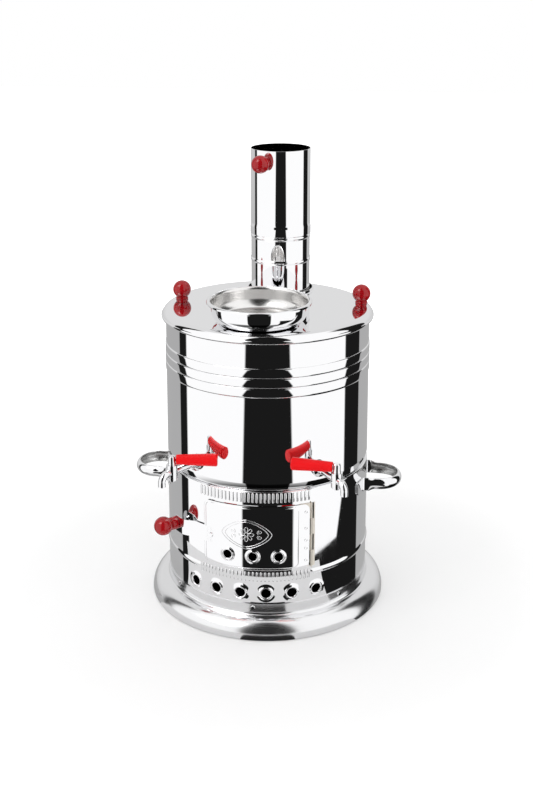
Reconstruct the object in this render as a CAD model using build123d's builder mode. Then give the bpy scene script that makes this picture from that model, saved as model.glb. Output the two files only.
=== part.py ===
from build123d import *

import os
from math import asin, cos, degrees, radians, sin, sqrt

# Portable charcoal samovar. Millimetres and degrees, +Z up, origin on the body's axis at the floor.
# Angles round the body count from the front (-Y) towards +X.

# ---- driving dimensions ------------------------------------------------------------------------

# sheet metal and clearances
sheet = 0.8  # stainless sheet of casing, tank, lid, bowl and pipes
skirt_sheet = 1.0
door_sheet = 0.7
leaf_sheet = 0.5
seat_gap = 0.15  # between pressed pieces that sit in each other
run_gap = 0.06  # radial clearance of a turning fit
swing_gap = 0.3  # between pieces that move apart
hole_gap = 0.1  # radial clearance of a screw in its hole

# body
body_r = 120.0
casing_foot = 24.0  # height of the casing's lower edge
firebox_h = 148.0
tank_h = 181.3
casing_flange = 8.0  # inward flanges that tank and casing meet on
casing_corner_r = 1.5

# skirt
collar_top = 35.5
collar_foot = 25.0
collar_fillet = 2.85
dome_top = 22.0
dome_start = 5.4  # outside the body
skirt_flare = 20.6  # outside the body
dome_bottom = 4.2
rim_roll = 2.0
foot_width = 9.6
skirt_screw_count = 7
skirt_screw_z = 30.8

# ash tray and grate
tray_z = 26.0
tray_h = 8.0
tray_corner_r = 1.5
ledge_z = 71.0
ledge_width = 10.0
ledge_depth = 9.0
grate_t = 2.8
grate_play = 1.6
grate_slot_w = 5.0
grate_slot_pitch = 14.0
grate_slot_count = 13

# drawn holes and flutes
air_hole_r = 5.5
air_collar_r = 9.3
air_hole_z = 48.5
air_hole_pitch = 14.2
air_hole_count = 6
draw_rise = 1.3
draw_taper = 52
flute_pitch = 2.2
flute_count = 29
flute_w = 1.7
flute_rise = 0.6
lower_flute_z = 68.8
lower_flute_h = 11.5
upper_flute_drop = 7.3  # middle of the upper flutes below the casing's top
upper_flute_h = 12.0
bead_z = 70.5
bead_h = 7.0
bead_rise = 1.3
bead_gap = 32.0  # the side bead stops this far each side of the front

# fire door, its opening, hinge and latch
door_low = 77.0
door_drop = 17.0  # below the casing's top
door_x = -2.5  # middle of the door and its opening
door_half = 55.7
door_corner_r = 8.0
door_lip = 4.0  # overlap of the door past its opening
door_leaf_edge = 31.2  # angle of the plate's edge beside the hinge
door_lift = 0.9  # stand-off from the casing
panel_margin = 1.4
panel_rise = 0.5
door_hole_r = 4.9
door_collar_r = 8.7
door_hole_z = 94.5
door_hole_pitch = 13.9
tab_low = 103.8
tab_high = 122.8
tab_root = 22.0  # angles where the latch tab starts, leaves the casing and runs level again
tab_bend = 34.0
tab_level = 42.0
tab_lift = 6.6
latch_angle = 48.0
hinge_angle = 32.2
hinge_start = 1.0  # above the door's lower edge
hinge_past = 0.4  # above the door's upper edge
knuckle_r = 1.3
knuckle_count = 4
knuckle_gap = 0.3
pin_r = 0.65
leaf_inner_gap = 1.5  # angle between a leaf's edge and the hinge axis
door_leaf_span = 5.5
fixed_leaf_span = 0.75
catch_inset = 5.775  # from the opening's edge to the catch
catch_w = 10.0
catch_h = 12.0
catch_tongue = 8.0
catch_sheet = 0.6
rivet_r = 1.5
rivet_head_r = 2.6
rivet_head_h = 1.1

# tank
tank_foot_step = 1.5  # how far the tank's foot is drawn in
tank_foot_h = 9.5
tank_foot_r = 2.8
tank_bead_drop = 70.3  # foot of the beads below the tank's top
tank_bead_pitch = 11.2
tank_bead_rise = 0.9
tank_bead_curl = 1.3  # height of a bead's rounded edge
tank_bead_count = 3

# flue and chimney
flue_x = 5.0
flue_margin = 5.0  # from the pipe to the body's edge
pipe_r = 36.5
lower_pipe_step = 0.4  # the lower pipe is this much smaller in radius
slip_gap = 0.2
neck_h = 26.0
neck_bead_h = 3.0
neck_bead_rise = 1.1
pipe_stop = 3.9  # the pipe's foot stands this far above the lid
lower_pipe_h = 77.4
upper_pipe_h = 104.0
pipe_bead_low = 36.4
pipe_bead_high = 65.9
pipe_bead_h = 5.0
pipe_bead_rise = 1.0
swage_h = 9.0
swage_neck = 3.0
chimney_knob_angle = -22.5
chimney_knob_drop = 14.2

# lid
lid_flat_in = 4.5  # the lid's flat top ends this far inside the body
shoulder_r = 9.25
shoulder_out = 4.2
rim_out = 5.2
rim_h = 4.2
pipe_clear = 2.8
lid_collar_h = 3.6
lid_knob_inset = 12.4  # half the knobs' distance falls short of the body's radius by this
lid_knob_mid = (1.4, 20.7)
lid_knob_turn = 2.75

# ball knobs
ball_r = 10.8
knob_foot_r = 7.3
knob_foot_h = 2.3
latch_foot_h = 7.5  # the latch knob has a longer foot
knob_neck_r = 6.4
knob_neck_h = 0.8
knob_bore = 12.0
screw_r = 2.0
screw_head_r = 3.8
screw_head_h = 2.2
screw_seat = 0.15  # a flat head under a curved sheet

# bowl
bowl_overhang = 6.8  # the rim reaches past the body
bowl_base_r = 40.0
bowl_wall_r = 54.5
bowl_h = 25.5
bowl_corner_h = 12.0
bowl_lip_r = 57.0
bowl_rim_r = 59.8
bowl_rim_drop = 3.2

# handles
handle_drop = 23.5  # middle of the loops below the casing's top
handle_out = 42.0
handle_half = 28.0
handle_straight = 2.0  # between the two bends of the loop
handle_h = 14.0
handle_depth = 4.5
handle_sheet = 1.2
foot_angle = 8.5

# taps
tap_angles = {"left": -34.5, "right": 36.8}
tap_rise = 23.0  # above the casing's top
plug_reach = 38.0
shank_r = 5.0
shank_bore_r = 3.0
tail = 9.0
flange_r = 9.6
flange_t = 2.2
seal_t = 2.0
seal_r = 9.0
nut_af = 16.0
nut_t = 4.0
barrel_r = 6.4
barrel_up = 9.0
barrel_down = 8.0
plug_top_r = 4.6
plug_bottom_r = 3.9
port_r = 2.7
spout_r = 4.3
spout_out = 7.5
spout_bend = 8.0
spout_drop = 4.5
boss_r = 4.2
boss_top = 19.5
lever_z = 15.0
lever_turn = 131.0  # closed lever, from straight outwards
lever_r = 2.4
lever_len = 44.0
grip_start = 4.9
grip_end = 51.0
grip_near_r = 5.6
grip_far_r = 7.3
plug_screw_r = 1.5
plug_washer_r = 5.6
plug_washer_t = 0.8
plug_screw_head_r = 3.0
plug_screw_head_h = 2.0
plug_screw_len = 7.0

# ---- places that follow from the dimensions ----------------------------------------------------

body_in = body_r - sheet
base_r = body_r + skirt_flare
casing_top = casing_foot + firebox_h
tank_top = casing_top + tank_h
seam_z = casing_top + tank_foot_h
upper_flute_z = casing_top - upper_flute_drop
door_high = casing_top - door_drop
hinge_low = door_low + hinge_start
hinge_high = door_high + hinge_past
handle_z = casing_top - handle_drop
handle_reach = body_r + handle_out
tap_z = casing_top + tap_rise
tank_bead_foot = tank_top - tank_bead_drop
lower_pipe_r = pipe_r - lower_pipe_step
flue_y = body_r - pipe_r - flue_margin
bowl_y = -(body_r + bowl_overhang - bowl_rim_r)
lid_knob_reach = body_r - lid_knob_inset
shoulder_z = tank_top + swing_gap - sqrt((shoulder_r - sheet) ** 2 - lid_flat_in**2)
lid_z = shoulder_z + shoulder_r
flue_r = lower_pipe_r - sheet - slip_gap
pipe_foot = lid_z + pipe_stop
lower_pipe_top = pipe_foot + lower_pipe_h
swage_in = lower_pipe_r + slip_gap
upper_pipe_foot = lower_pipe_top - swage_h + swing_gap
chimney_top = upper_pipe_foot + upper_pipe_h
door_in = body_r + door_lift
door_out = door_in + door_sheet
tab_in = door_in + panel_rise + tab_lift
catch_angle = degrees(asin((door_half - door_lip - door_x - catch_inset) / body_r))
hinge_r = body_r + knuckle_r + 0.4
knuckle_h = (hinge_high - hinge_low) / knuckle_count
plug_r = body_r + plug_reach
flue_plane = Plane((flue_x, flue_y, 0), x_dir=(1, 0, 0), z_dir=(0, -1, 0))
flue_axis = Axis((flue_x, flue_y, 0), (0, 0, 1))


def around(angle, radius, z=0.0):
    """Point at an angle round the body's axis, counted from the front."""
    return Vector(radius * sin(radians(angle)), -radius * cos(radians(angle)), z)


def outward_plane(angle, radius, z, centre=(0, 0)):
    """Plane on a round wall, with its normal pointing outwards and its Y axis up."""
    spot = around(angle, radius, z) + Vector(*centre, 0)
    return Plane(spot, x_dir=around(angle + 90, 1), z_dir=around(angle, 1))


def upright_plane(angle, centre=(0, 0)):
    """Plane through the body's axis, with X outwards at the angle and Y up."""
    return Plane(Vector(*centre, 0), x_dir=around(angle, 1), z_dir=around(angle - 90, 1))


def export(builder, name):
    """Labels a finished piece and writes it to its own file."""
    builder.part.label = name
    export_step(builder.part, f"parts/{name}.step")


os.makedirs("parts", exist_ok=True)

# ---- base skirt: spun ring with a collar, a dome and a rolled rim ---------------------------------

with BuildPart() as base_skirt:
    with BuildSketch(Plane.XZ):
        with BuildLine():
            collar_r = body_r + seat_gap + skirt_sheet
            collar = Line((collar_r, collar_top), (collar_r, collar_foot))
            step_end = (collar_r + collar_fillet, collar_foot - collar_fillet)
            step = TangentArc(collar @ 1, step_end, tangent=(0, -1))
            ledge = Line(step @ 1, (body_r + dome_start, dome_top))
            dome = ThreePointArc(
                ledge @ 1,
                (base_r - 4.4, (dome_top + dome_bottom) / 2 + 2.7),
                (base_r, dome_bottom),
            )
            side = Line(dome @ 1, (base_r, rim_roll))
            roll = RadiusArc(side @ 1, (base_r - rim_roll, 0), rim_roll)
            Line(roll @ 1, (base_r - foot_width, 0))
            offset(amount=skirt_sheet, side=Side.RIGHT, closed=True)
        make_face()
    revolve(axis=Axis.Z)
    for i in range(skirt_screw_count):
        turn = i * 360 / skirt_screw_count
        with BuildSketch(outward_plane(turn, body_r - 5, skirt_screw_z)):
            Circle(rivet_r + hole_gap)
        extrude(amount=10, mode=Mode.SUBTRACT)
export(base_skirt, "base_skirt")

with BuildPart() as skirt_screws:
    for i in range(skirt_screw_count):
        turn = i * 360 / skirt_screw_count
        with BuildSketch(outward_plane(turn, body_in - sheet - 2, skirt_screw_z)):
            Circle(rivet_r)
        extrude(amount=collar_r + hole_gap - (body_in - sheet - 2))
        with BuildSketch(outward_plane(turn, collar_r + hole_gap, skirt_screw_z)):
            Circle(rivet_head_r)
        extrude(amount=rivet_head_h, taper=25)
export(skirt_screws, "skirt_screws")

# ---- ash tray, ledge and grate --------------------------------------------------------------------

with BuildPart() as ash_tray:
    with BuildSketch(Plane.XZ):
        with BuildLine():
            tray_r = body_in - seat_gap
            floor = Line((0, tray_z), (tray_r - tray_corner_r, tray_z))
            corner = TangentArc(floor @ 1, (tray_r, tray_z + tray_corner_r), tangent=(1, 0))
            wall = Line(corner @ 1, (tray_r, tray_z + tray_h))
            rim = Line(wall @ 1, (tray_r - sheet, tray_z + tray_h))
            inside = Line(rim @ 1, (tray_r - sheet, tray_z + tray_corner_r))
            inner = RadiusArc(inside @ 1, (tray_r - tray_corner_r, tray_z + sheet), tray_corner_r - sheet)
            Polyline(inner @ 1, (0, tray_z + sheet), (0, tray_z))
        make_face()
    revolve(axis=Axis.Z)
    for i in range(skirt_screw_count):
        turn = i * 360 / skirt_screw_count
        with BuildSketch(outward_plane(turn, tray_r - 3, skirt_screw_z)):
            Circle(rivet_r + hole_gap)
        extrude(amount=6, mode=Mode.SUBTRACT)
export(ash_tray, "ash_tray")

with BuildPart() as grate_ring:
    with BuildSketch(Plane.XZ):
        ring_r = body_in - seat_gap
        with BuildLine():
            Polyline(
                (ring_r, ledge_z),
                (ring_r - ledge_width, ledge_z),
                (ring_r - ledge_width, ledge_z - sheet),
                (ring_r - sheet, ledge_z - sheet),
                (ring_r - sheet, ledge_z - ledge_depth),
                (ring_r, ledge_z - ledge_depth),
                close=True,
            )
        make_face()
    revolve(axis=Axis.Z)
export(grate_ring, "grate_ring")

with BuildPart() as grate:
    grate_r = ring_r - grate_play
    with BuildSketch(Plane.XY.offset(ledge_z)):
        Circle(grate_r)
    extrude(amount=grate_t)
    with BuildSketch(Plane.XY.offset(ledge_z)):
        for i in range(grate_slot_count):
            slot_x = (i - (grate_slot_count - 1) / 2) * grate_slot_pitch
            slot_len = 2 * (sqrt(grate_r**2 - slot_x**2) - ledge_width)
            with Locations((slot_x, 0)):
                Rectangle(grate_slot_w, slot_len)
    extrude(amount=grate_t, mode=Mode.SUBTRACT)
export(grate, "grate")

# ---- firebox casing: rolled sheet with drawn air holes, flutes, side bead and door opening ---------

with BuildPart() as firebox_casing:
    with BuildSketch(Plane.XZ):
        with BuildLine():
            wall = Line((body_r, casing_foot), (body_r, casing_top - casing_corner_r))
            corner = TangentArc(wall @ 1, (body_r - casing_corner_r, casing_top), tangent=(0, 1))
            Line(corner @ 1, (body_r - casing_flange, casing_top))
            offset(amount=sheet, side=Side.LEFT, closed=True)
        make_face()
    revolve(axis=Axis.Z)
    with BuildSketch(Plane(origin=(0, 0, 0), x_dir=around(bead_gap, 1), z_dir=around(bead_gap - 90, 1))):
        with BuildLine():
            foot_line = Line((body_r - sheet / 2, bead_z - bead_h / 2), (body_r, bead_z - bead_h / 2))
            crown = ThreePointArc(foot_line @ 1, (body_r + bead_rise, bead_z), (body_r, bead_z + bead_h / 2))
            Polyline(crown @ 1, (body_r - sheet / 2, bead_z + bead_h / 2), foot_line @ 0)
        make_face()
    revolve(axis=Axis.Z, revolution_arc=360 - 2 * bead_gap)
    for i in range(flute_count):
        turn = (i - (flute_count - 1) / 2) * flute_pitch
        for level, height in ((lower_flute_z, lower_flute_h), (upper_flute_z, upper_flute_h)):
            with BuildSketch(outward_plane(turn, body_r - sheet / 2, level)):
                Rectangle(flute_w, height)
            extrude(amount=sheet / 2 + flute_rise, taper=18)
    for i in range(air_hole_count):
        turn = (i - (air_hole_count - 1) / 2) * air_hole_pitch
        with BuildSketch(outward_plane(turn, body_r - sheet, air_hole_z)):
            Circle(air_collar_r)
        extrude(amount=sheet + draw_rise, taper=draw_taper)
    for i in range(air_hole_count):
        turn = (i - (air_hole_count - 1) / 2) * air_hole_pitch
        with BuildSketch(outward_plane(turn, body_r - 2 * sheet, air_hole_z)):
            Circle(air_hole_r)
        extrude(amount=6, mode=Mode.SUBTRACT)
    with BuildSketch(Plane.XZ):
        with Locations((door_x, (door_low + door_high) / 2)):
            RectangleRounded(
                2 * (door_half - door_lip),
                door_high - door_low - 2 * door_lip,
                door_corner_r - door_lip / 2,
            )
    extrude(amount=body_r + 5, mode=Mode.SUBTRACT)
    for i in range(skirt_screw_count):
        turn = i * 360 / skirt_screw_count
        with BuildSketch(outward_plane(turn, body_r - 3, skirt_screw_z)):
            Circle(rivet_r + hole_gap)
        extrude(amount=6, mode=Mode.SUBTRACT)
export(firebox_casing, "firebox_casing")

# ---- hinge: two leaves with rolled knuckles on one pin ----------------------------------------------

hinge_axis = around(hinge_angle, hinge_r)


def hinge_leaf(near, far, inner_r, first):
    """Curved leaf between two angles, with every second knuckle from the first one."""
    with BuildPart() as leaf:
        with BuildSketch(upright_plane(min(near, far))):
            with Locations((inner_r + leaf_sheet / 2, (hinge_low + hinge_high) / 2)):
                Rectangle(leaf_sheet, hinge_high - hinge_low)
        revolve(axis=Axis.Z, revolution_arc=abs(far - near))
        for i in range(first, knuckle_count, 2):
            low = hinge_low + i * knuckle_h + knuckle_gap / 2
            height = knuckle_h - knuckle_gap
            with BuildSketch(upright_plane(min(near, hinge_angle))):
                with Locations((inner_r + leaf_sheet / 2, low + height / 2)):
                    Rectangle(leaf_sheet, height)
            revolve(axis=Axis.Z, revolution_arc=abs(hinge_angle - near))
            with BuildSketch(Plane.XY.offset(low)):
                with Locations((hinge_axis.X, hinge_axis.Y)):
                    Circle(knuckle_r)
            extrude(amount=height)
        with BuildSketch(Plane.XY.offset(hinge_low)):
            with Locations((hinge_axis.X, hinge_axis.Y)):
                Circle(pin_r + run_gap)
        extrude(amount=hinge_high - hinge_low, mode=Mode.SUBTRACT)
    return leaf


fixed_edge = hinge_angle + leaf_inner_gap
casing_hinge_leaf = hinge_leaf(fixed_edge, fixed_edge + fixed_leaf_span, body_r + seat_gap, 0)
export(casing_hinge_leaf, "casing_hinge_leaf")
door_edge = hinge_angle - leaf_inner_gap
door_hinge_leaf = hinge_leaf(door_edge, door_edge - door_leaf_span, body_r + swing_gap, 1)
export(door_hinge_leaf, "door_hinge_leaf")

with BuildPart() as hinge_pin:
    with BuildSketch(Plane.XY.offset(hinge_low - 1)):
        with Locations((hinge_axis.X, hinge_axis.Y)):
            Circle(pin_r)
    extrude(amount=hinge_high - hinge_low + 2)
export(hinge_pin, "hinge_pin")

# ---- fire door: curved plate with a raised panel, three drawn holes and the latch tab ---------------

door_mid = (door_low + door_high) / 2
with BuildPart() as door_panel:
    with BuildSketch(Plane.XY.offset(door_low)):
        Circle(door_out + panel_rise)
        Circle(door_in + panel_rise, mode=Mode.SUBTRACT)
    extrude(amount=door_high - door_low)
    with BuildSketch(Plane.XZ):
        with Locations((door_x, door_mid)):
            RectangleRounded(
                2 * (door_half - panel_margin),
                door_high - door_low - 2 * panel_margin,
                door_corner_r - panel_margin,
            )
    extrude(amount=body_r + 10, mode=Mode.INTERSECT)

tab_mid = (tab_low + tab_high) / 2
tab_half = (tab_high - tab_low) / 2
with BuildPart() as door_tab:
    with BuildSketch(Plane.XY.offset(tab_low)):
        with BuildLine():
            root_r = door_in + panel_rise
            root_in = CenterArc((0, 0), root_r, -90 - tab_bend, tab_bend - tab_root)
            root_out = CenterArc((0, 0), root_r + door_sheet, -90 - tab_bend, tab_bend - tab_root)
            level_in = CenterArc((0, 0), tab_in, -90 - 2 * latch_angle + tab_level, 2 * (latch_angle - tab_level))
            level_out = CenterArc(
                (0, 0), tab_in + door_sheet, -90 - 2 * latch_angle + tab_level, 2 * (latch_angle - tab_level)
            )
            Line(level_in @ 1, root_in @ 0)
            Line(level_out @ 1, root_out @ 0)
            Line(root_in @ 1, root_out @ 1)
            Line(level_in @ 0, level_out @ 0)
        make_face()
    extrude(amount=tab_high - tab_low)
    with BuildSketch(outward_plane(-latch_angle, body_r - 30, tab_mid)):
        Circle(tab_half)
        with Locations((body_r / 2, 0)):
            Rectangle(body_r, tab_high - tab_low)
    extrude(amount=60, mode=Mode.INTERSECT)

with BuildPart() as fire_door:
    left_x = door_x - door_half
    right_x = door_out * sin(radians(door_leaf_edge))
    with BuildSketch(Plane.XY.offset(door_low)):
        Circle(door_out)
        Circle(door_in, mode=Mode.SUBTRACT)
    extrude(amount=door_high - door_low)
    with BuildSketch(Plane.XZ):
        with Locations(((left_x + right_x) / 2, door_mid)):
            RectangleRounded(right_x - left_x, door_high - door_low, door_corner_r)
    extrude(amount=body_r + 10, mode=Mode.INTERSECT)
    add(door_panel.part)
    add(door_tab.part)
    for i in (-1, 0, 1):
        with BuildSketch(outward_plane(i * door_hole_pitch, door_in, door_hole_z)):
            Circle(door_collar_r)
        extrude(amount=door_sheet + panel_rise + draw_rise, taper=draw_taper)
    for i in (-1, 0, 1):
        with BuildSketch(outward_plane(i * door_hole_pitch, body_r - 3, door_hole_z)):
            Circle(door_hole_r)
        extrude(amount=10, mode=Mode.SUBTRACT)
    with BuildSketch(outward_plane(-latch_angle, tab_in - 3, tab_mid)):
        Circle(screw_r + hole_gap)
    extrude(amount=10, mode=Mode.SUBTRACT)
    with BuildSketch(outward_plane(-catch_angle, body_r - 3, tab_mid)):
        Circle(rivet_r + hole_gap)
    extrude(amount=10, mode=Mode.SUBTRACT)
export(fire_door, "fire_door")

# ---- door catch: spring tongue riveted behind the door ------------------------------------------------

catch_out = door_in - 0.4  # the flat base clears the curved door at its edges
with BuildPart() as door_catch:
    with BuildSketch(outward_plane(-catch_angle, catch_out - catch_sheet, tab_mid)):
        Rectangle(catch_w, catch_h)
    extrude(amount=catch_sheet)
    with BuildSketch(outward_plane(-catch_angle, catch_out - catch_tongue, tab_mid)):
        with Locations(((catch_sheet - catch_w) / 2, 0)):
            Rectangle(catch_sheet, catch_h)
    extrude(amount=catch_tongue - catch_sheet)
    with BuildSketch(outward_plane(-catch_angle, catch_out - 3, tab_mid)):
        Circle(rivet_r + hole_gap)
    extrude(amount=4, mode=Mode.SUBTRACT)
export(door_catch, "door_catch")

with BuildPart() as door_catch_rivet:
    rivet_seat = door_out + panel_rise + hole_gap
    with BuildSketch(outward_plane(-catch_angle, catch_out - catch_sheet - 1.2, tab_mid)):
        Circle(rivet_r)
    extrude(amount=rivet_seat - catch_out + catch_sheet + 1.2)
    with BuildSketch(outward_plane(-catch_angle, rivet_seat, tab_mid)):
        Circle(rivet_head_r)
    extrude(amount=rivet_head_h, taper=30)
    with BuildSketch(outward_plane(-catch_angle, catch_out - catch_sheet - 1.2, tab_mid)):
        Circle(rivet_head_r)
    extrude(amount=1.1)
export(door_catch_rivet, "door_catch_rivet")

# ---- ball knobs and their screws ---------------------------------------------------------------------


def ball_knob(plane, foot_h=knob_foot_h):
    """Turned knob standing on a plane: foot, neck, ball and a blind bore."""
    ball_foot = foot_h + knob_neck_h
    centre = ball_foot + sqrt(ball_r**2 - knob_neck_r**2)
    profile = Plane(plane.origin, x_dir=plane.x_dir, z_dir=-plane.y_dir)
    bore_r = screw_r + hole_gap
    with BuildPart() as knob:
        with BuildSketch(profile):
            with BuildLine():
                foot = Polyline((bore_r, 0), (knob_foot_r, 0), (knob_foot_r, foot_h))
                neck = Line(foot @ 1, (knob_neck_r, ball_foot))
                ball = ThreePointArc(neck @ 1, (ball_r, centre), (0, centre + ball_r))
                Polyline(ball @ 1, (0, knob_bore), (bore_r, knob_bore), (bore_r, 0))
            make_face()
        revolve(axis=Axis(plane.origin, plane.z_dir))
    return knob


knob_offset = Vector(lid_knob_reach, 0, 0).rotate(Axis.Z, lid_knob_turn)
knob_middle = Vector(*lid_knob_mid, lid_z)
lid_knob_places = {
    "left": Plane(knob_middle - knob_offset),
    "right": Plane(knob_middle + knob_offset),
}
for side, place in lid_knob_places.items():
    export(ball_knob(place), f"lid_knob_{side}")

with BuildPart() as lid_knob_screws:
    for place in lid_knob_places.values():
        with BuildSketch(place.offset(-sheet - screw_head_h)):
            Circle(screw_head_r)
        extrude(amount=screw_head_h)
        with BuildSketch(place.offset(-sheet)):
            Circle(screw_r)
        extrude(amount=sheet + knob_bore - hole_gap)
export(lid_knob_screws, "lid_knob_screws")

knob_seat = outward_plane(-latch_angle, tab_in + door_sheet + hole_gap, tab_mid)
export(ball_knob(knob_seat, latch_foot_h), "latch_knob")

with BuildPart() as latch_knob_screw:
    head_top = tab_in - screw_seat
    with BuildSketch(outward_plane(-latch_angle, head_top - screw_head_h, tab_mid)):
        Circle(screw_head_r)
    extrude(amount=screw_head_h)
    with BuildSketch(outward_plane(-latch_angle, head_top, tab_mid)):
        Circle(screw_r)
    extrude(amount=screw_seat + door_sheet + knob_bore)
export(latch_knob_screw, "latch_knob_screw")

knob_z = chimney_top - chimney_knob_drop
knob_wall = outward_plane(chimney_knob_angle, pipe_r + hole_gap, knob_z, (flue_x, flue_y))
export(ball_knob(knob_wall), "chimney_knob")

with BuildPart() as chimney_knob_stud:
    with BuildSketch(knob_wall):
        Circle(screw_r)
    extrude(amount=knob_bore - hole_gap)
export(chimney_knob_stud, "chimney_knob_stud")

# ---- tank shell: rolled wall with three beads under the lid --------------------------------------------

with BuildPart() as tank_shell:
    with BuildSketch(Plane.XZ):
        with BuildLine():
            wall = Line((body_r, seam_z), (body_r, tank_bead_foot))
            last = wall @ 1
            crown_r = body_r + tank_bead_rise
            curl_r = (tank_bead_curl**2 + tank_bead_rise**2) / (2 * tank_bead_rise)
            for i in range(tank_bead_count):
                low = tank_bead_foot + i * tank_bead_pitch
                high = low + tank_bead_pitch
                lower_curl = RadiusArc(last, (crown_r, low + tank_bead_curl), -curl_r)
                crown = Line(lower_curl @ 1, (crown_r, high - tank_bead_curl))
                last = RadiusArc(crown @ 1, (body_r, high), -curl_r) @ 1
            neck = Line(last, (body_r, tank_top))
            Polyline(neck @ 1, (body_in, tank_top), (body_in, seam_z), wall @ 0)
        make_face()
    revolve(axis=Axis.Z)
    for turn in tap_angles.values():
        with BuildSketch(outward_plane(turn, body_r - 5, tap_z)):
            Circle(shank_r + seat_gap)
        extrude(amount=10, mode=Mode.SUBTRACT)
export(tank_shell, "tank_shell")

# ---- tank floor: drawn pan, its flared edge butt-welded under the wall --------------------------------

with BuildPart() as tank_floor:
    with BuildSketch(Plane.XZ):
        foot_r = body_r - tank_foot_step
        with BuildLine():
            bottom = Line((0, casing_top), (foot_r - tank_foot_r, casing_top))
            heel = TangentArc(bottom @ 1, (foot_r, casing_top + tank_foot_r), tangent=(1, 0))
            flare = Line(heel @ 1, (body_r, seam_z))
            edge = Line(flare @ 1, (body_in, seam_z))
            inside = Line(edge @ 1, (foot_r - sheet, casing_top + tank_foot_r))
            bend = RadiusArc(inside @ 1, (foot_r - tank_foot_r, casing_top + sheet), tank_foot_r - sheet)
            Polyline(bend @ 1, (0, casing_top + sheet), (0, casing_top))
        make_face()
    revolve(axis=Axis.Z)
    with BuildSketch(Plane.XY.offset(casing_top)):
        with Locations((flue_x, flue_y)):
            Circle(flue_r + seat_gap)
    extrude(amount=sheet, mode=Mode.SUBTRACT)
export(tank_floor, "tank_floor")

# ---- flue: smoke tube through the water, with the neck and bead that carry the chimney -----------------

with BuildPart() as flue_tube:
    with BuildSketch(flue_plane):
        bead_top = pipe_foot - swing_gap
        with BuildLine():
            tube = Line((flue_r, casing_top), (flue_r, bead_top - neck_bead_h))
            bead_crown = (flue_r + neck_bead_rise, bead_top - neck_bead_h / 2)
            bead = ThreePointArc(tube @ 1, bead_crown, (flue_r, bead_top))
            Polyline(
                bead @ 1,
                (flue_r, lid_z + neck_h),
                (flue_r - sheet, lid_z + neck_h),
                (flue_r - sheet, casing_top),
                tube @ 0,
            )
        make_face()
    revolve(axis=flue_axis)
export(flue_tube, "flue_tube")

# ---- lid: flat top, rounded shoulder, rolled rim, and a drawn collar round the pipe --------------------

lid_hole_r = pipe_r + pipe_clear
with BuildPart() as lid:
    with BuildSketch(Plane.XZ):
        flat_r = body_r - lid_flat_in
        shoulder_end = body_r + shoulder_out
        drop = sqrt(shoulder_r**2 - (shoulder_end - flat_r) ** 2)
        mid_turn = radians(35)
        with BuildLine():
            top = Line((0, lid_z), (flat_r, lid_z))
            shoulder = ThreePointArc(
                top @ 1,
                (flat_r + shoulder_r * sin(mid_turn), shoulder_z + shoulder_r * cos(mid_turn)),
                (shoulder_end, shoulder_z + drop),
            )
            ThreePointArc(
                shoulder @ 1,
                (body_r + rim_out, shoulder_z + drop - rim_h / 2),
                (shoulder_end - 0.3, shoulder_z + drop - rim_h),
            )
            offset(amount=sheet, side=Side.RIGHT, closed=True)
        make_face()
    revolve(axis=Axis.Z)
    collar_low = tank_top + swing_gap
    with BuildSketch(Plane.XY.offset(collar_low)):
        with Locations((flue_x, flue_y)):
            Circle(lid_hole_r + sheet)
    extrude(amount=lid_z + lid_collar_h - collar_low)
    with BuildSketch(Plane.XY.offset(collar_low)):
        with Locations((flue_x, flue_y)):
            Circle(lid_hole_r)
    extrude(amount=lid_z + lid_collar_h - collar_low, mode=Mode.SUBTRACT)
    for place in lid_knob_places.values():
        with BuildSketch(place.offset(-2 * sheet)):
            Circle(screw_r + hole_gap)
        extrude(amount=3 * sheet, mode=Mode.SUBTRACT)
export(lid, "lid")

# ---- bowl: loose dish with a rolled-down lip --------------------------------------------------------

with BuildPart() as bowl:
    bowl_z = lid_z + swing_gap
    with BuildSketch(Plane.XZ.offset(-bowl_y)):
        with BuildLine():
            base = Line((0, bowl_z), (bowl_base_r, bowl_z))
            corner = TangentArc(base @ 1, (bowl_wall_r - 0.7, bowl_z + bowl_corner_h), tangent=(1, 0))
            wall = Line(corner @ 1, (bowl_wall_r, bowl_z + bowl_h - 3.4))
            lip = TangentArc(wall @ 1, (bowl_lip_r, bowl_z + bowl_h), tangent=wall % 1)
            ThreePointArc(
                lip @ 1,
                (bowl_lip_r + 1.9, bowl_z + bowl_h - 0.7),
                (bowl_rim_r, bowl_z + bowl_h - bowl_rim_drop),
            )
            offset(amount=sheet, side=Side.LEFT, closed=True)
        make_face()
    revolve(axis=Axis((0, bowl_y, 0), (0, 0, 1)))
export(bowl, "bowl")

# ---- chimney: a beaded lower pipe and an upper pipe that slips over it -------------------------------

with BuildPart() as chimney_lower:
    with BuildSketch(flue_plane):
        with BuildLine():
            last = Vector(lower_pipe_r, pipe_foot)
            for middle in (pipe_foot + pipe_bead_low, pipe_foot + pipe_bead_high):
                start = Line(last, (lower_pipe_r, middle - pipe_bead_h / 2)) @ 1
                crown = (lower_pipe_r + pipe_bead_rise, middle)
                last = ThreePointArc(start, crown, (lower_pipe_r, middle + pipe_bead_h / 2)) @ 1
            Polyline(
                last,
                (lower_pipe_r, lower_pipe_top),
                (lower_pipe_r - sheet, lower_pipe_top),
                (lower_pipe_r - sheet, pipe_foot),
                (lower_pipe_r, pipe_foot),
            )
        make_face()
    revolve(axis=flue_axis)
export(chimney_lower, "chimney_lower")

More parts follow.
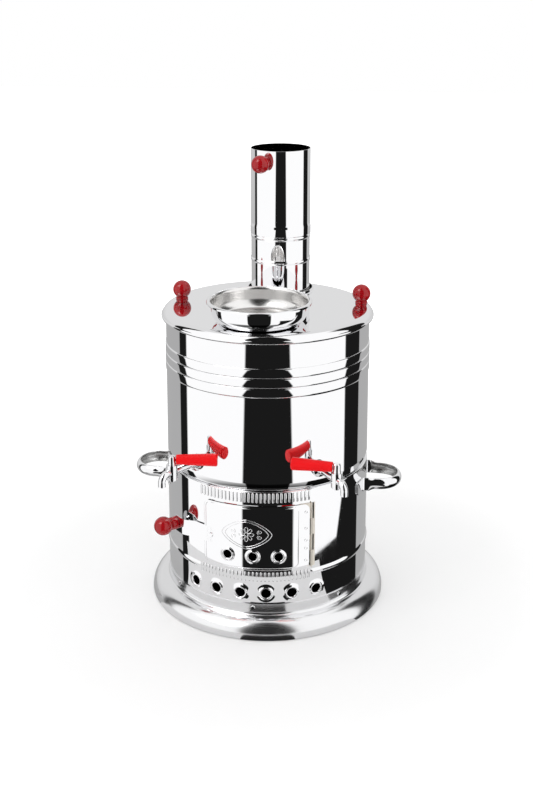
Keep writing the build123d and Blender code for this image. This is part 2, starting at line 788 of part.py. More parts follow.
with BuildPart() as chimney_upper:
    with BuildSketch(flue_plane):
        swage_top = upper_pipe_foot + swage_h
        with BuildLine():
            Polyline(
                (swage_in, upper_pipe_foot),
                (swage_in + sheet, upper_pipe_foot),
                (swage_in + sheet, swage_top),
                (pipe_r, swage_top + swage_neck),
                (pipe_r, chimney_top),
                (pipe_r - sheet, chimney_top),
                (pipe_r - sheet, swage_top + swage_neck),
                (swage_in, swage_top),
                close=True,
            )
        make_face()
    revolve(axis=flue_axis)
export(chimney_upper, "chimney_upper")

# ---- handles: half-round pressed loops with feet spot-welded to the casing ----------------------------


def loop_handle(sign):
    """Loop on one side of the body; sign is +1 on the +X side."""
    root_x = sqrt(body_r**2 - handle_half**2) - 1
    arm_angle = degrees(handle_half / body_r)
    with BuildPart() as handle:
        with BuildLine(Plane.XY.offset(handle_z)) as route:
            FilletPolyline(
                (sign * root_x, -handle_half),
                (sign * handle_reach, -handle_half),
                (sign * handle_reach, handle_half),
                (sign * root_x, handle_half),
                radius=handle_half - handle_straight / 2,
            )
        with BuildSketch(Plane(route.line @ 0, x_dir=(0, -1, 0), z_dir=(sign, 0, 0))):
            with BuildLine():
                outer = ThreePointArc((-handle_depth, -handle_h / 2), (0, 0), (-handle_depth, handle_h / 2))
                offset(outer, amount=handle_sheet, side=Side.LEFT, closed=True)
            make_face()
        sweep(path=route.wire())
        for near in (90 - arm_angle, 90 + arm_angle):
            away = -1 if near < 90 else 1
            start = near if away > 0 else near - foot_angle
            with BuildSketch(upright_plane(sign * start if sign > 0 else -(start + foot_angle))):
                with Locations((body_r + seat_gap + handle_sheet / 2, handle_z)):
                    Rectangle(handle_sheet, handle_h)
            revolve(axis=Axis.Z, revolution_arc=foot_angle)
        with BuildSketch(Plane.XY.offset(handle_z - handle_h)):
            Circle(body_r + seat_gap)
        extrude(amount=2 * handle_h, mode=Mode.SUBTRACT)
    return handle


for side, sign in (("left", -1), ("right", 1)):
    export(loop_handle(sign), f"handle_{side}")

# ---- taps: body, seal, back nut, plug with lever, grip and screw, on each side -------------------------

for side, sign in (("left", -1), ("right", 1)):
    turn = tap_angles[side]
    upright = upright_plane(turn)
    shank_axis = Axis(Vector(0, 0, tap_z), around(turn, 1))
    plug_foot = around(turn, plug_r, tap_z)
    plug_axis = Axis(plug_foot, (0, 0, 1))
    lever_angle = turn - sign * lever_turn
    flange_in = body_r + seal_t

    with BuildPart() as tap_body:
        with BuildSketch(upright):
            with BuildLine():
                Polyline(
                    (body_r - tail, tap_z),
                    (body_r - tail, tap_z + shank_r),
                    (flange_in, tap_z + shank_r),
                    (flange_in, tap_z + flange_r),
                    (flange_in + flange_t, tap_z + flange_r - 0.8),
                    (flange_in + flange_t + 2, tap_z + shank_r + 0.6),
                    (flange_in + flange_t + 8, tap_z + shank_r - 0.6),
                    (plug_r, tap_z + shank_r - 0.6),
                    (plug_r, tap_z),
                    close=True,
                )
            make_face()
        revolve(axis=shank_axis)
        with BuildSketch(Plane(plug_foot - Vector(0, 0, barrel_down), z_dir=(0, 0, 1))):
            Circle(barrel_r)
        extrude(amount=barrel_down + barrel_up)
        with BuildLine(upright) as spout_path:
            run = Line((plug_r, tap_z), (plug_r + spout_out, tap_z))
            bend = TangentArc(run @ 1, (plug_r + spout_out + spout_bend, tap_z - spout_bend), tangent=(1, 0))
            Line(bend @ 1, (plug_r + spout_out + spout_bend, tap_z - spout_bend - spout_drop))
        with BuildSketch(outward_plane(turn, plug_r, tap_z)):
            Circle(spout_r)
        sweep(path=spout_path.wire())
        with BuildSketch(outward_plane(turn, plug_r, tap_z)):
            Circle(port_r)
        sweep(path=spout_path.wire(), mode=Mode.SUBTRACT)
        with BuildSketch(outward_plane(turn, body_r - tail, tap_z)):
            Circle(shank_bore_r)
        extrude(amount=plug_reach + tail, mode=Mode.SUBTRACT)
        with BuildSketch(upright):
            with BuildLine():
                Polyline(
                    (plug_r, tap_z - barrel_down),
                    (plug_r + plug_bottom_r + run_gap, tap_z - barrel_down),
                    (plug_r + plug_top_r + run_gap, tap_z + barrel_up),
                    (plug_r, tap_z + barrel_up),
                    close=True,
                )
            make_face()
        revolve(axis=plug_axis, mode=Mode.SUBTRACT)
    export(tap_body, f"tap_body_{side}")

    with BuildPart() as tap_seal:
        with BuildSketch(outward_plane(turn, body_r - 2, tap_z)):
            Circle(seal_r)
            Circle(shank_r + seat_gap, mode=Mode.SUBTRACT)
        extrude(amount=seal_t + 2 - hole_gap / 2)
        with BuildSketch(Plane.XY.offset(tap_z - 2 * seal_r)):
            Circle(body_r + seat_gap)
        extrude(amount=4 * seal_r, mode=Mode.SUBTRACT)
    export(tap_seal, f"tap_seal_{side}")

    with BuildPart() as tap_nut:
        nut_corner_r = nut_af / sqrt(3)
        nut_face = sqrt(body_in**2 - nut_corner_r**2) - hole_gap
        with BuildSketch(outward_plane(turn, nut_face - nut_t, tap_z)):
            RegularPolygon(nut_corner_r, 6)
            Circle(shank_r + run_gap, mode=Mode.SUBTRACT)
        extrude(amount=nut_t)
    export(tap_nut, f"tap_nut_{side}")

    with BuildPart() as tap_plug:
        with BuildSketch(upright):
            with BuildLine():
                Polyline(
                    (plug_r, tap_z - barrel_down),
                    (plug_r + plug_bottom_r, tap_z - barrel_down),
                    (plug_r + plug_top_r, tap_z + barrel_up),
                    (plug_r + plug_top_r, tap_z + barrel_up + 1),
                    (plug_r + boss_r, tap_z + barrel_up + 2),
                    (plug_r + boss_r, tap_z + boss_top - 1),
                    (plug_r + boss_r - 1.2, tap_z + boss_top),
                    (plug_r, tap_z + boss_top),
                    close=True,
                )
            make_face()
        revolve(axis=plug_axis)
        with BuildSketch(outward_plane(turn + 90, -plug_top_r - 2, tap_z, (plug_foot.X, plug_foot.Y))):
            Circle(port_r)
        extrude(amount=2 * plug_top_r + 4, mode=Mode.SUBTRACT)
        with BuildSketch(outward_plane(lever_angle, 0, tap_z + lever_z, (plug_foot.X, plug_foot.Y))):
            Circle(lever_r)
        extrude(amount=lever_len)
        with BuildSketch(Plane(plug_foot - Vector(0, 0, barrel_down), z_dir=(0, 0, 1))):
            Circle(plug_screw_r + hole_gap / 2)
        extrude(amount=plug_screw_len - plug_washer_t, mode=Mode.SUBTRACT)
    export(tap_plug, f"tap_plug_{side}")

    with BuildPart() as tap_grip:
        with BuildSketch(
            Plane(
                plug_foot + Vector(0, 0, lever_z),
                x_dir=around(lever_angle, 1),
                z_dir=around(lever_angle - 90, 1),
            )
        ):
            with BuildLine():
                Polyline(
                    (grip_start, lever_r + hole_gap),
                    (grip_start, grip_near_r - 0.4),
                    (grip_start + 0.4, grip_near_r),
                    (grip_end - 1.2, grip_far_r),
                    (grip_end, grip_far_r - 1.2),
                    (grip_end, 0),
                    (lever_len + hole_gap, 0),
                    (lever_len + hole_gap, lever_r + hole_gap),
                    close=True,
                )
            make_face()
        revolve(axis=Axis(plug_foot + Vector(0, 0, lever_z), around(lever_angle, 1)))
    export(tap_grip, f"tap_grip_{side}")

    with BuildPart() as tap_plug_screw:
        washer_top = tap_z - barrel_down - swing_gap
        with BuildSketch(Plane((plug_foot.X, plug_foot.Y, washer_top - plug_washer_t))):
            Circle(plug_washer_r)
        extrude(amount=plug_washer_t)
        with BuildSketch(Plane((plug_foot.X, plug_foot.Y, washer_top - plug_washer_t))):
            Circle(plug_screw_head_r)
        extrude(amount=-plug_screw_head_h, taper=12)
        with BuildSketch(Plane((plug_foot.X, plug_foot.Y, washer_top))):
            Circle(plug_screw_r)
        extrude(amount=plug_screw_len - 2 * plug_washer_t)
    export(tap_plug_screw, f"tap_plug_screw_{side}")
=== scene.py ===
from math import asin, atan2, copysign, cos, degrees, pi, radians, sin, sqrt

import bpy
from mathutils import Matrix, Vector


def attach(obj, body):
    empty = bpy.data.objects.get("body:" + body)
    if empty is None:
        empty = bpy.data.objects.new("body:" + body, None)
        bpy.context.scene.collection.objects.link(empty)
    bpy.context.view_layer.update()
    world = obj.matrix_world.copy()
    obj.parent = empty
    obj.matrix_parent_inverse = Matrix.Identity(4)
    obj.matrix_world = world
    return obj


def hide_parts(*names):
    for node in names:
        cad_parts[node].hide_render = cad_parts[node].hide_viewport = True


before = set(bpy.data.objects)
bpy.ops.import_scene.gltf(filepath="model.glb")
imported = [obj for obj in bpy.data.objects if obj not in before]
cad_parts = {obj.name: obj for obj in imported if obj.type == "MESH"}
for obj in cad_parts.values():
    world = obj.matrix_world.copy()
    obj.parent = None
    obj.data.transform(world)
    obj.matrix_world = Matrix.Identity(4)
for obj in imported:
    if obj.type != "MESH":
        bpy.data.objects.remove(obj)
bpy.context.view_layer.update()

# ---- base skirt ---------------------------------------------------------------------------------
# The ring that the samovar stands on: stainless sheet spun over a former into a collar, a dome and
# a rolled rim. The lathe leaves fine rings on the dome, and seven screws hold the collar.

body_r = 120.0
skirt_sheet = 1.0
seat_gap = 0.15  # between sheets that sit in each other
collar_r = body_r + seat_gap + skirt_sheet
collar_top, collar_foot, collar_fillet = 35.5, 25.0, 2.85
dome_crown, dome_side, dome_foot = (body_r + 5.4, 22.0), (136.2, 15.85), (140.6, 4.2)
rim_r, rim_roll, rim_inside = 140.6, 2.0, 131.0


def only(piece):
    """Leaves one piece selected and active."""
    bpy.ops.object.select_all(action="DESELECT")
    piece.select_set(True)
    bpy.context.view_layer.objects.active = piece


def choose(piece, wanted):
    """Enters edit mode with only the points selected that a test picks."""
    only(piece)
    bpy.ops.object.mode_set(mode="EDIT")
    bpy.ops.mesh.select_mode(type="VERT")
    bpy.ops.mesh.select_all(action="DESELECT")
    bpy.ops.object.mode_set(mode="OBJECT")
    for point in piece.data.vertices:
        point.select = wanted(point.co)
    bpy.ops.object.mode_set(mode="EDIT")


def edit_all():
    """Enters edit mode on the active piece with everything selected."""
    bpy.ops.object.mode_set(mode="EDIT")
    bpy.ops.mesh.select_all(action="SELECT")


def leave_edit():
    """Goes back to object mode."""
    bpy.ops.object.mode_set(mode="OBJECT")


def smoothed(piece, crease):
    """Shades a piece smooth, but for edges that are sharper than the crease angle."""
    only(piece)
    bpy.ops.object.shade_smooth_by_angle(angle=radians(crease))


def thicken(piece, wall, even=False):
    """Gives a sheet its thickness, inwards from its face."""
    only(piece)
    skin = piece.modifiers.new("skin", "SOLIDIFY")
    skin.thickness = wall / 1000
    skin.offset = -1
    skin.use_even_offset = even
    bpy.ops.object.modifier_apply(modifier="skin")


def arc(centre, radius, first, last, steps=8):
    """Points on an arc of a section, with angles counted from straight outwards towards up."""
    turns = [radians(first + (last - first) * i / steps) for i in range(steps + 1)]
    return [(centre[0] + radius * cos(t), centre[1] + radius * sin(t)) for t in turns]


def through(start, middle, end, steps=16):
    """Points on the arc through three points of a section."""
    (ax, az), (bx, bz), (cx, cz) = start, middle, end
    d = 2 * (ax * (bz - cz) + bx * (cz - az) + cx * (az - bz))
    sa, sb, sc = ax**2 + az**2, bx**2 + bz**2, cx**2 + cz**2
    x = (sa * (bz - cz) + sb * (cz - az) + sc * (az - bz)) / d
    z = (sa * (cx - bx) + sb * (ax - cx) + sc * (bx - ax)) / d
    turns = [atan2(pz - z, px - x) for px, pz in (start, middle, end)]
    for i in (1, 2):
        turns[i] = turns[i - 1] + (turns[i] - turns[i - 1] + pi) % (2 * pi) - pi
    radius = sqrt((ax - x) ** 2 + (az - z) ** 2)
    return arc((x, z), radius, degrees(turns[0]), degrees(turns[2]), steps)


def spun(name, section, wall=0, axis_at=(0, 0), first=0, turn=360, steps=288, crease=32):
    """Draws a section of (radius, height) points in millimetres, spins it and gives it a wall."""
    bpy.ops.object.select_all(action="DESELECT")
    bpy.ops.mesh.primitive_plane_add(size=0.001)
    piece = bpy.context.object
    piece.name = name
    edit_all()
    bpy.ops.mesh.merge(type="CENTER")
    way = Vector((sin(radians(first)), -cos(radians(first)), 0))
    spots = [Vector((*axis_at, z)) / 1000 + way * (r / 1000) for r, z in section]
    bpy.ops.transform.translate(value=spots[0])
    for here, there in zip(spots, spots[1:]):
        bpy.ops.mesh.extrude_region_move(TRANSFORM_OT_translate={"value": there - here})
    bpy.ops.mesh.select_all(action="SELECT")
    middle = (axis_at[0] / 1000, axis_at[1] / 1000, 0)
    bpy.ops.mesh.spin(steps=steps, angle=-radians(turn), center=middle, axis=(0, 0, 1))
    bpy.ops.mesh.select_all(action="SELECT")
    bpy.ops.mesh.remove_doubles(threshold=2e-6)
    bpy.ops.mesh.normals_make_consistent(inside=False)
    leave_edit()
    if wall:
        thicken(piece, wall, even=True)
    smoothed(piece, crease)
    return piece


def node(tree, kind, wires, **settings):
    """Adds a shader node whose inputs take the given values or come from other nodes."""
    made = tree.nodes.new("ShaderNode" + kind)
    for key, value in settings.items():
        setattr(made, key, value)
    for slot, value in wires.items():
        if isinstance(value, bpy.types.NodeSocket):
            tree.links.new(value, made.inputs[slot])
        elif value is not None:
            made.inputs[slot].default_value = value
    return made.outputs


def new_finish(name, metallic=0.0):
    """A finish to build on: itself, its tree, its shader and the place on the piece."""
    finish = bpy.data.materials.new(name)
    finish.use_nodes = True
    tree = finish.node_tree
    shader = tree.nodes["Principled BSDF"]
    shader.inputs["Metallic"].default_value = metallic
    return finish, tree, shader, node(tree, "TexCoord", {})["Object"]


def ramp(tree, value, low, high, first, last, kind="LINEAR"):
    """Goes from a first to a last value as another value goes from low to high."""
    wires = dict(enumerate((value, low, high, first, last)))
    return node(tree, "MapRange", wires, interpolation_type=kind)[0]


def relief_of(tree, height, rise, below=None):
    """The surface's tilt where a pattern stands out by a height in metres."""
    wires = {"Strength": 1, "Distance": rise, "Height": height, "Normal": below}
    return node(tree, "Bump", wires)["Normal"]


def satin(name, colour, roughness, at=(0, 0)):
    """Satin metal as a lathe leaves it, with rings round an upright axis."""
    broad, fine, depth = 150, 1400, 6e-6
    finish, tree, shader, spot = new_finish(name, metallic=1)
    shader.inputs["Base Color"].default_value = (*colour, 1)
    middle = (-at[0] / 1000, -at[1] / 1000, 0)
    centred = node(tree, "Mapping", {"Location": middle, "Vector": spot})["Vector"]
    apart = node(tree, "SeparateXYZ", {"Vector": centred})
    flat = node(tree, "CombineXYZ", {"X": apart["X"], "Y": apart["Y"]})["Vector"]
    reach = node(tree, "VectorMath", {0: flat}, operation="LENGTH")["Value"]
    track = node(tree, "CombineXYZ", {"X": reach, "Y": apart["Z"]})["Vector"]
    relief = None
    for size, rise in ((broad, depth * 6), (fine, depth)):
        rings = node(tree, "TexNoise", {"Vector": track, "Scale": size, "Detail": 3})["Fac"]
        relief = relief_of(tree, rings, rise, relief)
    tree.links.new(relief, shader.inputs["Normal"])
    patch = node(tree, "TexNoise", {"Vector": track, "Scale": 60})["Fac"]
    polish = ramp(tree, patch, 0.35, 0.65, roughness * 0.85, roughness * 1.2)
    tree.links.new(polish, shader.inputs["Roughness"])
    return finish


def paint(piece, finish):
    """Gives a piece one finish all over."""
    piece.data.materials.clear()
    piece.data.materials.append(finish)


satin_steel = satin("satin_steel", (0.88, 0.88, 0.89), 0.17)
skirt = spun(
    "base_skirt_spun",
    [(collar_r, collar_top), (collar_r, collar_top - 0.3), (collar_r, collar_foot + 0.3)]
    + arc((collar_r + collar_fillet, collar_foot), collar_fillet, 180, 270)
    + through(dome_crown, dome_side, dome_foot, 28)
    + [(rim_r, rim_roll + 2), (rim_r, rim_roll + 0.2)]
    + arc((rim_r - rim_roll, rim_roll), rim_roll, 0, -90)
    + [(rim_r - rim_roll - 0.3, 0), (rim_inside, 0)],
    wall=skirt_sheet,
    steps=360,
)
paint(skirt, satin_steel)
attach(skirt, "base")
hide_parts("base_skirt")

# ---- ash tray, ledge and grate ------------------------------------------------------------------
# A pressed tray catches the ash, and a rolled ledge carries a punched grate for the charcoal. They
# are the same stainless sheet, browned and sooted by the fire.


def mottled_steel(name, colour, dark, roughness):
    """Steel sheet clouded between two tones: heat, soot and plating on real parts, painted shadow
    on the hinge's gap strip.
    """
    finish, tree, shader, spot = new_finish(name, metallic=0.85)
    cloud = node(tree, "TexNoise", {"Vector": spot, "Scale": 32, "Detail": 6})["Fac"]
    shades = {"Factor": cloud, "A": (*colour, 1), "B": (*dark, 1)}
    tint = node(tree, "Mix", shades, data_type="RGBA")["Result"]
    dull = ramp(tree, cloud, 0.0, 1.0, roughness - 0.12, roughness + 0.18)
    tree.links.new(tint, shader.inputs["Base Color"])
    tree.links.new(dull, shader.inputs["Roughness"])
    tree.links.new(relief_of(tree, cloud, 3e-5), shader.inputs["Normal"])
    return finish


fire_steel = mottled_steel("fire_steel", (0.16, 0.15, 0.14), (0.03, 0.026, 0.024), 0.5)
for name in ("ash_tray", "grate_ring", "grate"):
    paint(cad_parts[name], fire_steel)

# ---- firebox casing -----------------------------------------------------------------------------
# The lower half of the body, mirror-polished stainless sheet rolled and seamed. Six air holes are
# drawn outwards into smooth collars, two rows of flutes are pressed round the front, and a side
# bead stiffens the back. The door opening is cut out of it.

sheet = 0.8
casing_foot, casing_top, casing_corner, flange = 24.0, 172.0, 1.5, 8.0
air_holes, air_pitch, air_z, air_mouth = 6, 14.2, 48.5, 5.5
door_x, door_low, door_high = -2.5, 77.0, 155.0
opening_w, opening_depth, opening_h, opening_corner = 103.4, 80.0, 70.0, 6.0
flute_count, flute_pitch, flute_r, flute_reach = 29, 2.2, 1.3, 4.4
flute_rows = ((68.8, 1.0), (164.7, 1.045))  # height and stretch of each row
bead_z, bead_half, bead_out, bead_gap, bead_fade = 70.5, 3.6, 1.25, 32, 3


def polished(name, colour=(0.93, 0.93, 0.94), roughness=0.022, swell=2.2e-5, size=16):
    """Mirror-polished metal with the faint waves that rolling leaves."""
    finish, tree, shader, spot = new_finish(name, metallic=1)
    shader.inputs["Base Color"].default_value = (*colour, 1)
    ripple = node(tree, "TexNoise", {"Vector": spot, "Scale": size, "Detail": 0.5})["Fac"]
    tree.links.new(relief_of(tree, ripple, swell), shader.inputs["Normal"])
    buff = node(tree, "TexNoise", {"Vector": spot, "Scale": 90, "Detail": 4})["Fac"]
    polish = ramp(tree, buff, 0.3, 0.7, roughness * 0.6, roughness * 1.5)
    tree.links.new(polish, shader.inputs["Roughness"])
    return finish


def rolled(piece, turn, height, radius=body_r, lift=None):
    """Bends a piece modelled flat onto a round wall: X goes round it, Y up and Z outwards."""
    for point in piece.data.vertices:
        x, y, z = point.co * 1000
        at = radians(turn) + x / radius
        out = radius + z + (lift(degrees(at)) if lift else 0)
        point.co = Vector((out * sin(at), -out * cos(at), height + y)) / 1000
    piece.data.update()
    return piece


def twin(piece, name):
    """A copy of a piece with a mesh of its own."""
    other = piece.copy()
    other.data = piece.data.copy()
    other.name = name
    bpy.context.scene.collection.objects.link(other)
    return other


def joined(name, pieces):
    """Makes several meshes one piece."""
    only(pieces[0])
    for piece in pieces[1:]:
        piece.select_set(True)
    bpy.ops.object.join()
    pieces[0].name = name
    return pieces[0]


def set_place():
    """Moves the active piece's place, turn and size into its mesh."""
    bpy.ops.object.transform_apply(location=True, rotation=True, scale=True)


def cut(piece, cutter):
    """Takes a cutter's shape out of a piece."""
    only(piece)
    bite = piece.modifiers.new("cut", "BOOLEAN")
    bite.operation = "DIFFERENCE"
    bite.solver = "EXACT"
    bite.object = cutter
    bpy.ops.object.modifier_apply(modifier="cut")
    bpy.data.objects.remove(cutter)


def post(radius, turn, reach, height, depth=12):
    """A round cutter that points outwards through the wall."""
    way = Vector((sin(radians(turn)), -cos(radians(turn)), 0))
    bpy.ops.mesh.primitive_cylinder_add(
        vertices=64,
        radius=radius / 1000,
        depth=depth / 1000,
        location=way * (reach / 1000) + Vector((0, 0, height / 1000)),
        rotation=(pi / 2, 0, radians(turn)),
    )
    cutter = bpy.context.object
    set_place()
    return cutter


polished_steel = polished("polished_steel")
# heights of the wall's edge loops, closer where holes, door and bead are cut or pressed
rows = [24.3, 36, 38, 58, 60, 62, 66.7, 74.3, 76, 80, 82, 100, 120, 140, 150, 152, 156, 158, 170.2]
casing = spun(
    "casing_wall",
    [(body_r, casing_foot)]
    + [(body_r, row) for row in rows]
    + arc((body_r - casing_corner, casing_top - casing_corner), casing_corner, 0, 90)
    + [(body_r - flange, casing_top)],
    wall=sheet,
    steps=720,
)
air_turns = [(i - (air_holes - 1) / 2) * air_pitch for i in range(air_holes)]
for turn in air_turns:
    cut(casing, post(air_mouth + 1.1, turn, body_r, air_z))
bpy.ops.mesh.primitive_cube_add(
    size=0.001, location=(door_x / 1000, -0.1, (door_low + door_high) / 2000)
)
doorway = bpy.context.object
edit_all()
bpy.ops.transform.resize(value=(opening_w, opening_depth, opening_h))
leave_edit()
set_place()
edit_all()
bpy.ops.mesh.bevel(offset=opening_corner / 1000, segments=8, affect="EDGES")
leave_edit()
cut(casing, doorway)
smoothed(casing, 32)


def drawn_collar(name, mouth, foot, rise, flare):
    """Smooth collar round a drawn hole, modelled lying flat with its mouth upwards."""
    crown = mouth + 0.32 * (foot - mouth)
    return spun(
        name,
        through((foot + flare, -0.1), (foot + flare * 0.47, 0.02), (foot + 0.1, 0.3), 8)
        + through((foot - 0.25, 0.36), (foot - 0.7, 0.52), (foot - 1.15, 0.76), 4)
        + through((crown + 0.95, rise - 0.3), (crown, rise), (mouth + 0.25, rise - 0.42), 7)
        + [(mouth, rise - 0.95), (mouth, -1.1)],
        steps=64,
        crease=60,
    )


collars = [
    rolled(drawn_collar(f"air_collar_{i}", air_mouth, foot=9.1, rise=1.3, flare=4.2), turn, air_z)
    for i, turn in enumerate(air_turns)
]

bpy.ops.object.select_all(action="DESELECT")
bpy.ops.mesh.primitive_uv_sphere_add(
    segments=20, ring_count=13, radius=flute_r / 1000, rotation=(pi / 2, 0, 0)
)
flute = bpy.context.object
flute.name = "flute"
set_place()
for side in (-1, 1):
    choose(flute, lambda spot: spot.y * side > 1e-6)
    bpy.ops.transform.translate(value=(0, side * flute_reach / 1000, 0))
    leave_edit()
edit_all()
bpy.ops.transform.resize(value=(1, 1, 0.55))
bpy.ops.mesh.bisect(plane_co=(0, 0, -0.0001), plane_no=(0, 0, 1), clear_inner=True)
leave_edit()
bpy.ops.object.shade_smooth()
flutes = []
for level, stretch in flute_rows:
    for i in range(flute_count):
        one = twin(flute, "flute_one")
        for point in one.data.vertices:
            point.co.y *= stretch
        flutes.append(rolled(one, (i - (flute_count - 1) / 2) * flute_pitch, level))
bpy.data.objects.remove(flute)

bead_sunk = body_r - 0.1
bead = spun(
    "side_bead",
    through(
        (bead_sunk, bead_z - bead_half),
        (body_r + bead_out, bead_z),
        (bead_sunk, bead_z + bead_half),
        12,
    ),
    first=bead_gap,
    turn=360 - 2 * bead_gap,
    steps=300,
    crease=60,
)
for point in bead.data.vertices:
    at = (degrees(atan2(point.co.x, -point.co.y)) + 360) % 360
    near = min(at, 360 - at) - bead_gap
    if near < bead_fade:
        reach = Vector((point.co.x, point.co.y)).length
        fade = sqrt(max(0, 1 - (1 - near / bead_fade) ** 2))
        keep = bead_sunk / 1000 + (reach - bead_sunk / 1000) * fade
        point.co.x *= keep / reach
        point.co.y *= keep / reach
bead.data.update()
casing = joined("firebox_casing_rolled", [casing, bead] + collars + flutes)
paint(casing, polished_steel)
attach(casing, "base")
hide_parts("firebox_casing")
paint(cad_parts["skirt_screws"], polished_steel)

# ---- hinge --------------------------------------------------------------------------------------
# Two zinc-plated leaves with rolled knuckles turn on one thin pin. The leaves are spot-welded to
# the casing and to the door. In the gaps where the knuckles turn, a near-black strip on the casing
# is painted shadow.

hinge_turn, hinge_r = 32.2, body_r + 1.7
hinge_low, knuckle_h, knuckle_count, knuckle_gap = 78.0, 19.35, 4, 0.3
hinge_high = hinge_low + knuckle_count * knuckle_h
leaf_sheet, gap_shadow_strip_sheet = 0.5, 0.06
hinge_steel = mottled_steel("hinge_steel", (0.93, 0.88, 0.8), (0.86, 0.8, 0.7), 0.4)
# painted shadow: a near-black finish for the strip in the hinge's gaps
painted_gap_shadow = mottled_steel("painted_gap_shadow_steel", (0.012, 0.011, 0.01), (0.02, 0.018, 0.016), 0.6)


def knuckle(radius, low, high):
    """A rolled barrel on the hinge's axis, with its ends slightly rounded."""
    ends = [(radius - 0.2, low), (radius, low + 0.2), (radius, high - 0.2), (radius - 0.2, high)]
    axis = (hinge_r * sin(radians(hinge_turn)), -hinge_r * cos(radians(hinge_turn)))
    return spun("knuckle", [(0, low)] + ends + [(0, high)], axis_at=axis, steps=32)


def bent_strip(name, radius, low, high, start, stop, wall=leaf_sheet, steps=6):
    """A strip on the round wall between two heights and two angles, with its outside radius."""
    section = [(radius, low), (radius, high)]
    return spun(name, section, wall=wall, first=start, turn=stop - start, steps=steps)


def hinge_leaf(name, seat_r, near, far, first, barrel_r):
    """A leaf between two angles, with every second knuckle from the first one."""
    face_r = seat_r + leaf_sheet
    pieces = [bent_strip(name, face_r, hinge_low, hinge_high, min(near, far), max(near, far))]
    for i in range(first, knuckle_count, 2):
        foot = hinge_low + i * knuckle_h + knuckle_gap / 2
        head = foot + knuckle_h - knuckle_gap
        start, stop = min(near, hinge_turn), max(near, hinge_turn)
        pieces.append(bent_strip("arm", face_r, foot, head, start, stop, steps=3))
        pieces.append(knuckle(barrel_r, foot, head))
    return joined(name, pieces)


near, far = hinge_turn + 1.6, hinge_turn + 2.25
casing_leaf = hinge_leaf("casing_hinge_leaf_rolled", body_r + seat_gap, near, far, 0, 1.3)
near, far = hinge_turn - 1.5, hinge_turn - 7
door_leaf = hinge_leaf("door_hinge_leaf_rolled", body_r + 2 * seat_gap, near, far, 1, 1.02)
for piece, body, name in (
    (casing_leaf, "base", "casing_hinge_leaf"),
    (door_leaf, "door", "door_hinge_leaf"),
):
    paint(piece, hinge_steel)
    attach(piece, body)
    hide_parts(name)
paint(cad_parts["hinge_pin"], hinge_steel)
# painted shadow: a thin near-black strip on the casing behind the knuckles stands in for the shade
# in their gaps
gap_shadow_strip = bent_strip(
    "hinge_gap_shadow_strip",
    body_r + 0.03 + gap_shadow_strip_sheet,
    hinge_low + 0.4,
    hinge_high - 0.4,
    hinge_turn - 0.9,
    hinge_turn + 1.7,
    wall=gap_shadow_strip_sheet,
)
paint(gap_shadow_strip, painted_gap_shadow)
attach(gap_shadow_strip, "base")

# ---- fire door ----------------------------------------------------------------------------------
# A curved plate of mirror-polished sheet with a raised panel, three drawn draught holes, a pressed
# ornament and a tongue at the left that springs out to the latch knob.

door_in, door_sheet, panel_sheet = 120.9, 0.7, 0.4
door_mid, door_half_h = (door_low + door_high) / 2, (door_high - door_low) / 2
door_hole_z, door_hole_pitch, door_mouth = 94.5, 13.9, 4.9
tongue_z, tongue_h, tongue_w, tongue_x = 113.3, 19, 64.4, -78.6
tongue_out, tongue_start, tongue_run, tongue_corner = 6.6, -34, 8, 9.2
ornament_half_w, ornament_half_h, ornament_turn, ornament_z = 29, 17.5, -3.4, 121.0
weld_turn, weld_heights = 29.0, (145.6, 125.9, 111.2, 101.4, 86.6)


def flat_panel(name, left, right, low, high, corner_r, steps=10):
    """A flat plate with round corners, in millimetres, facing up."""
    bpy.ops.object.select_all(action="DESELECT")
    middle = ((left + right) / 2000, (low + high) / 2000, 0)
    bpy.ops.mesh.primitive_plane_add(size=0.001, location=middle)
    piece = bpy.context.object
    piece.name = name
    edit_all()
    bpy.ops.transform.resize(value=(right - left, high - low, 1))
    leave_edit()
    set_place()
    if corner_r:
        edit_all()
        bpy.ops.mesh.bevel(offset=corner_r / 1000, segments=steps, affect="VERTICES")
        leave_edit()
    return piece


def sliced(piece, pitch=2.0):
    """Cuts a flat piece into upright strips, so that it bends smoothly."""
    only(piece)
    xs = [point.co.x for point in piece.data.vertices]
    left, width = min(xs), max(xs) - min(xs)
    count = int(width * 1000 / pitch)
    bpy.ops.object.mode_set(mode="EDIT")
    for i in range(1, count):
        bpy.ops.mesh.select_all(action="SELECT")
        bpy.ops.mesh.bisect(plane_co=(left + width * i / count, 0, 0), plane_no=(1, 0, 0))
    leave_edit()


def raised(piece, rise):
    """Lifts a flat piece by millimetres."""
    for point in piece.data.vertices:
        point.co.z += rise / 1000
    return piece


def stepped(piece, *steps):
    """Insets a flat piece's face again and again, each by a width and a rise in millimetres."""
    only(piece)
    edit_all()
    for width, rise in steps:
        bpy.ops.mesh.inset(thickness=width / 1000, depth=rise / 1000, use_even_offset=True)
    leave_edit()


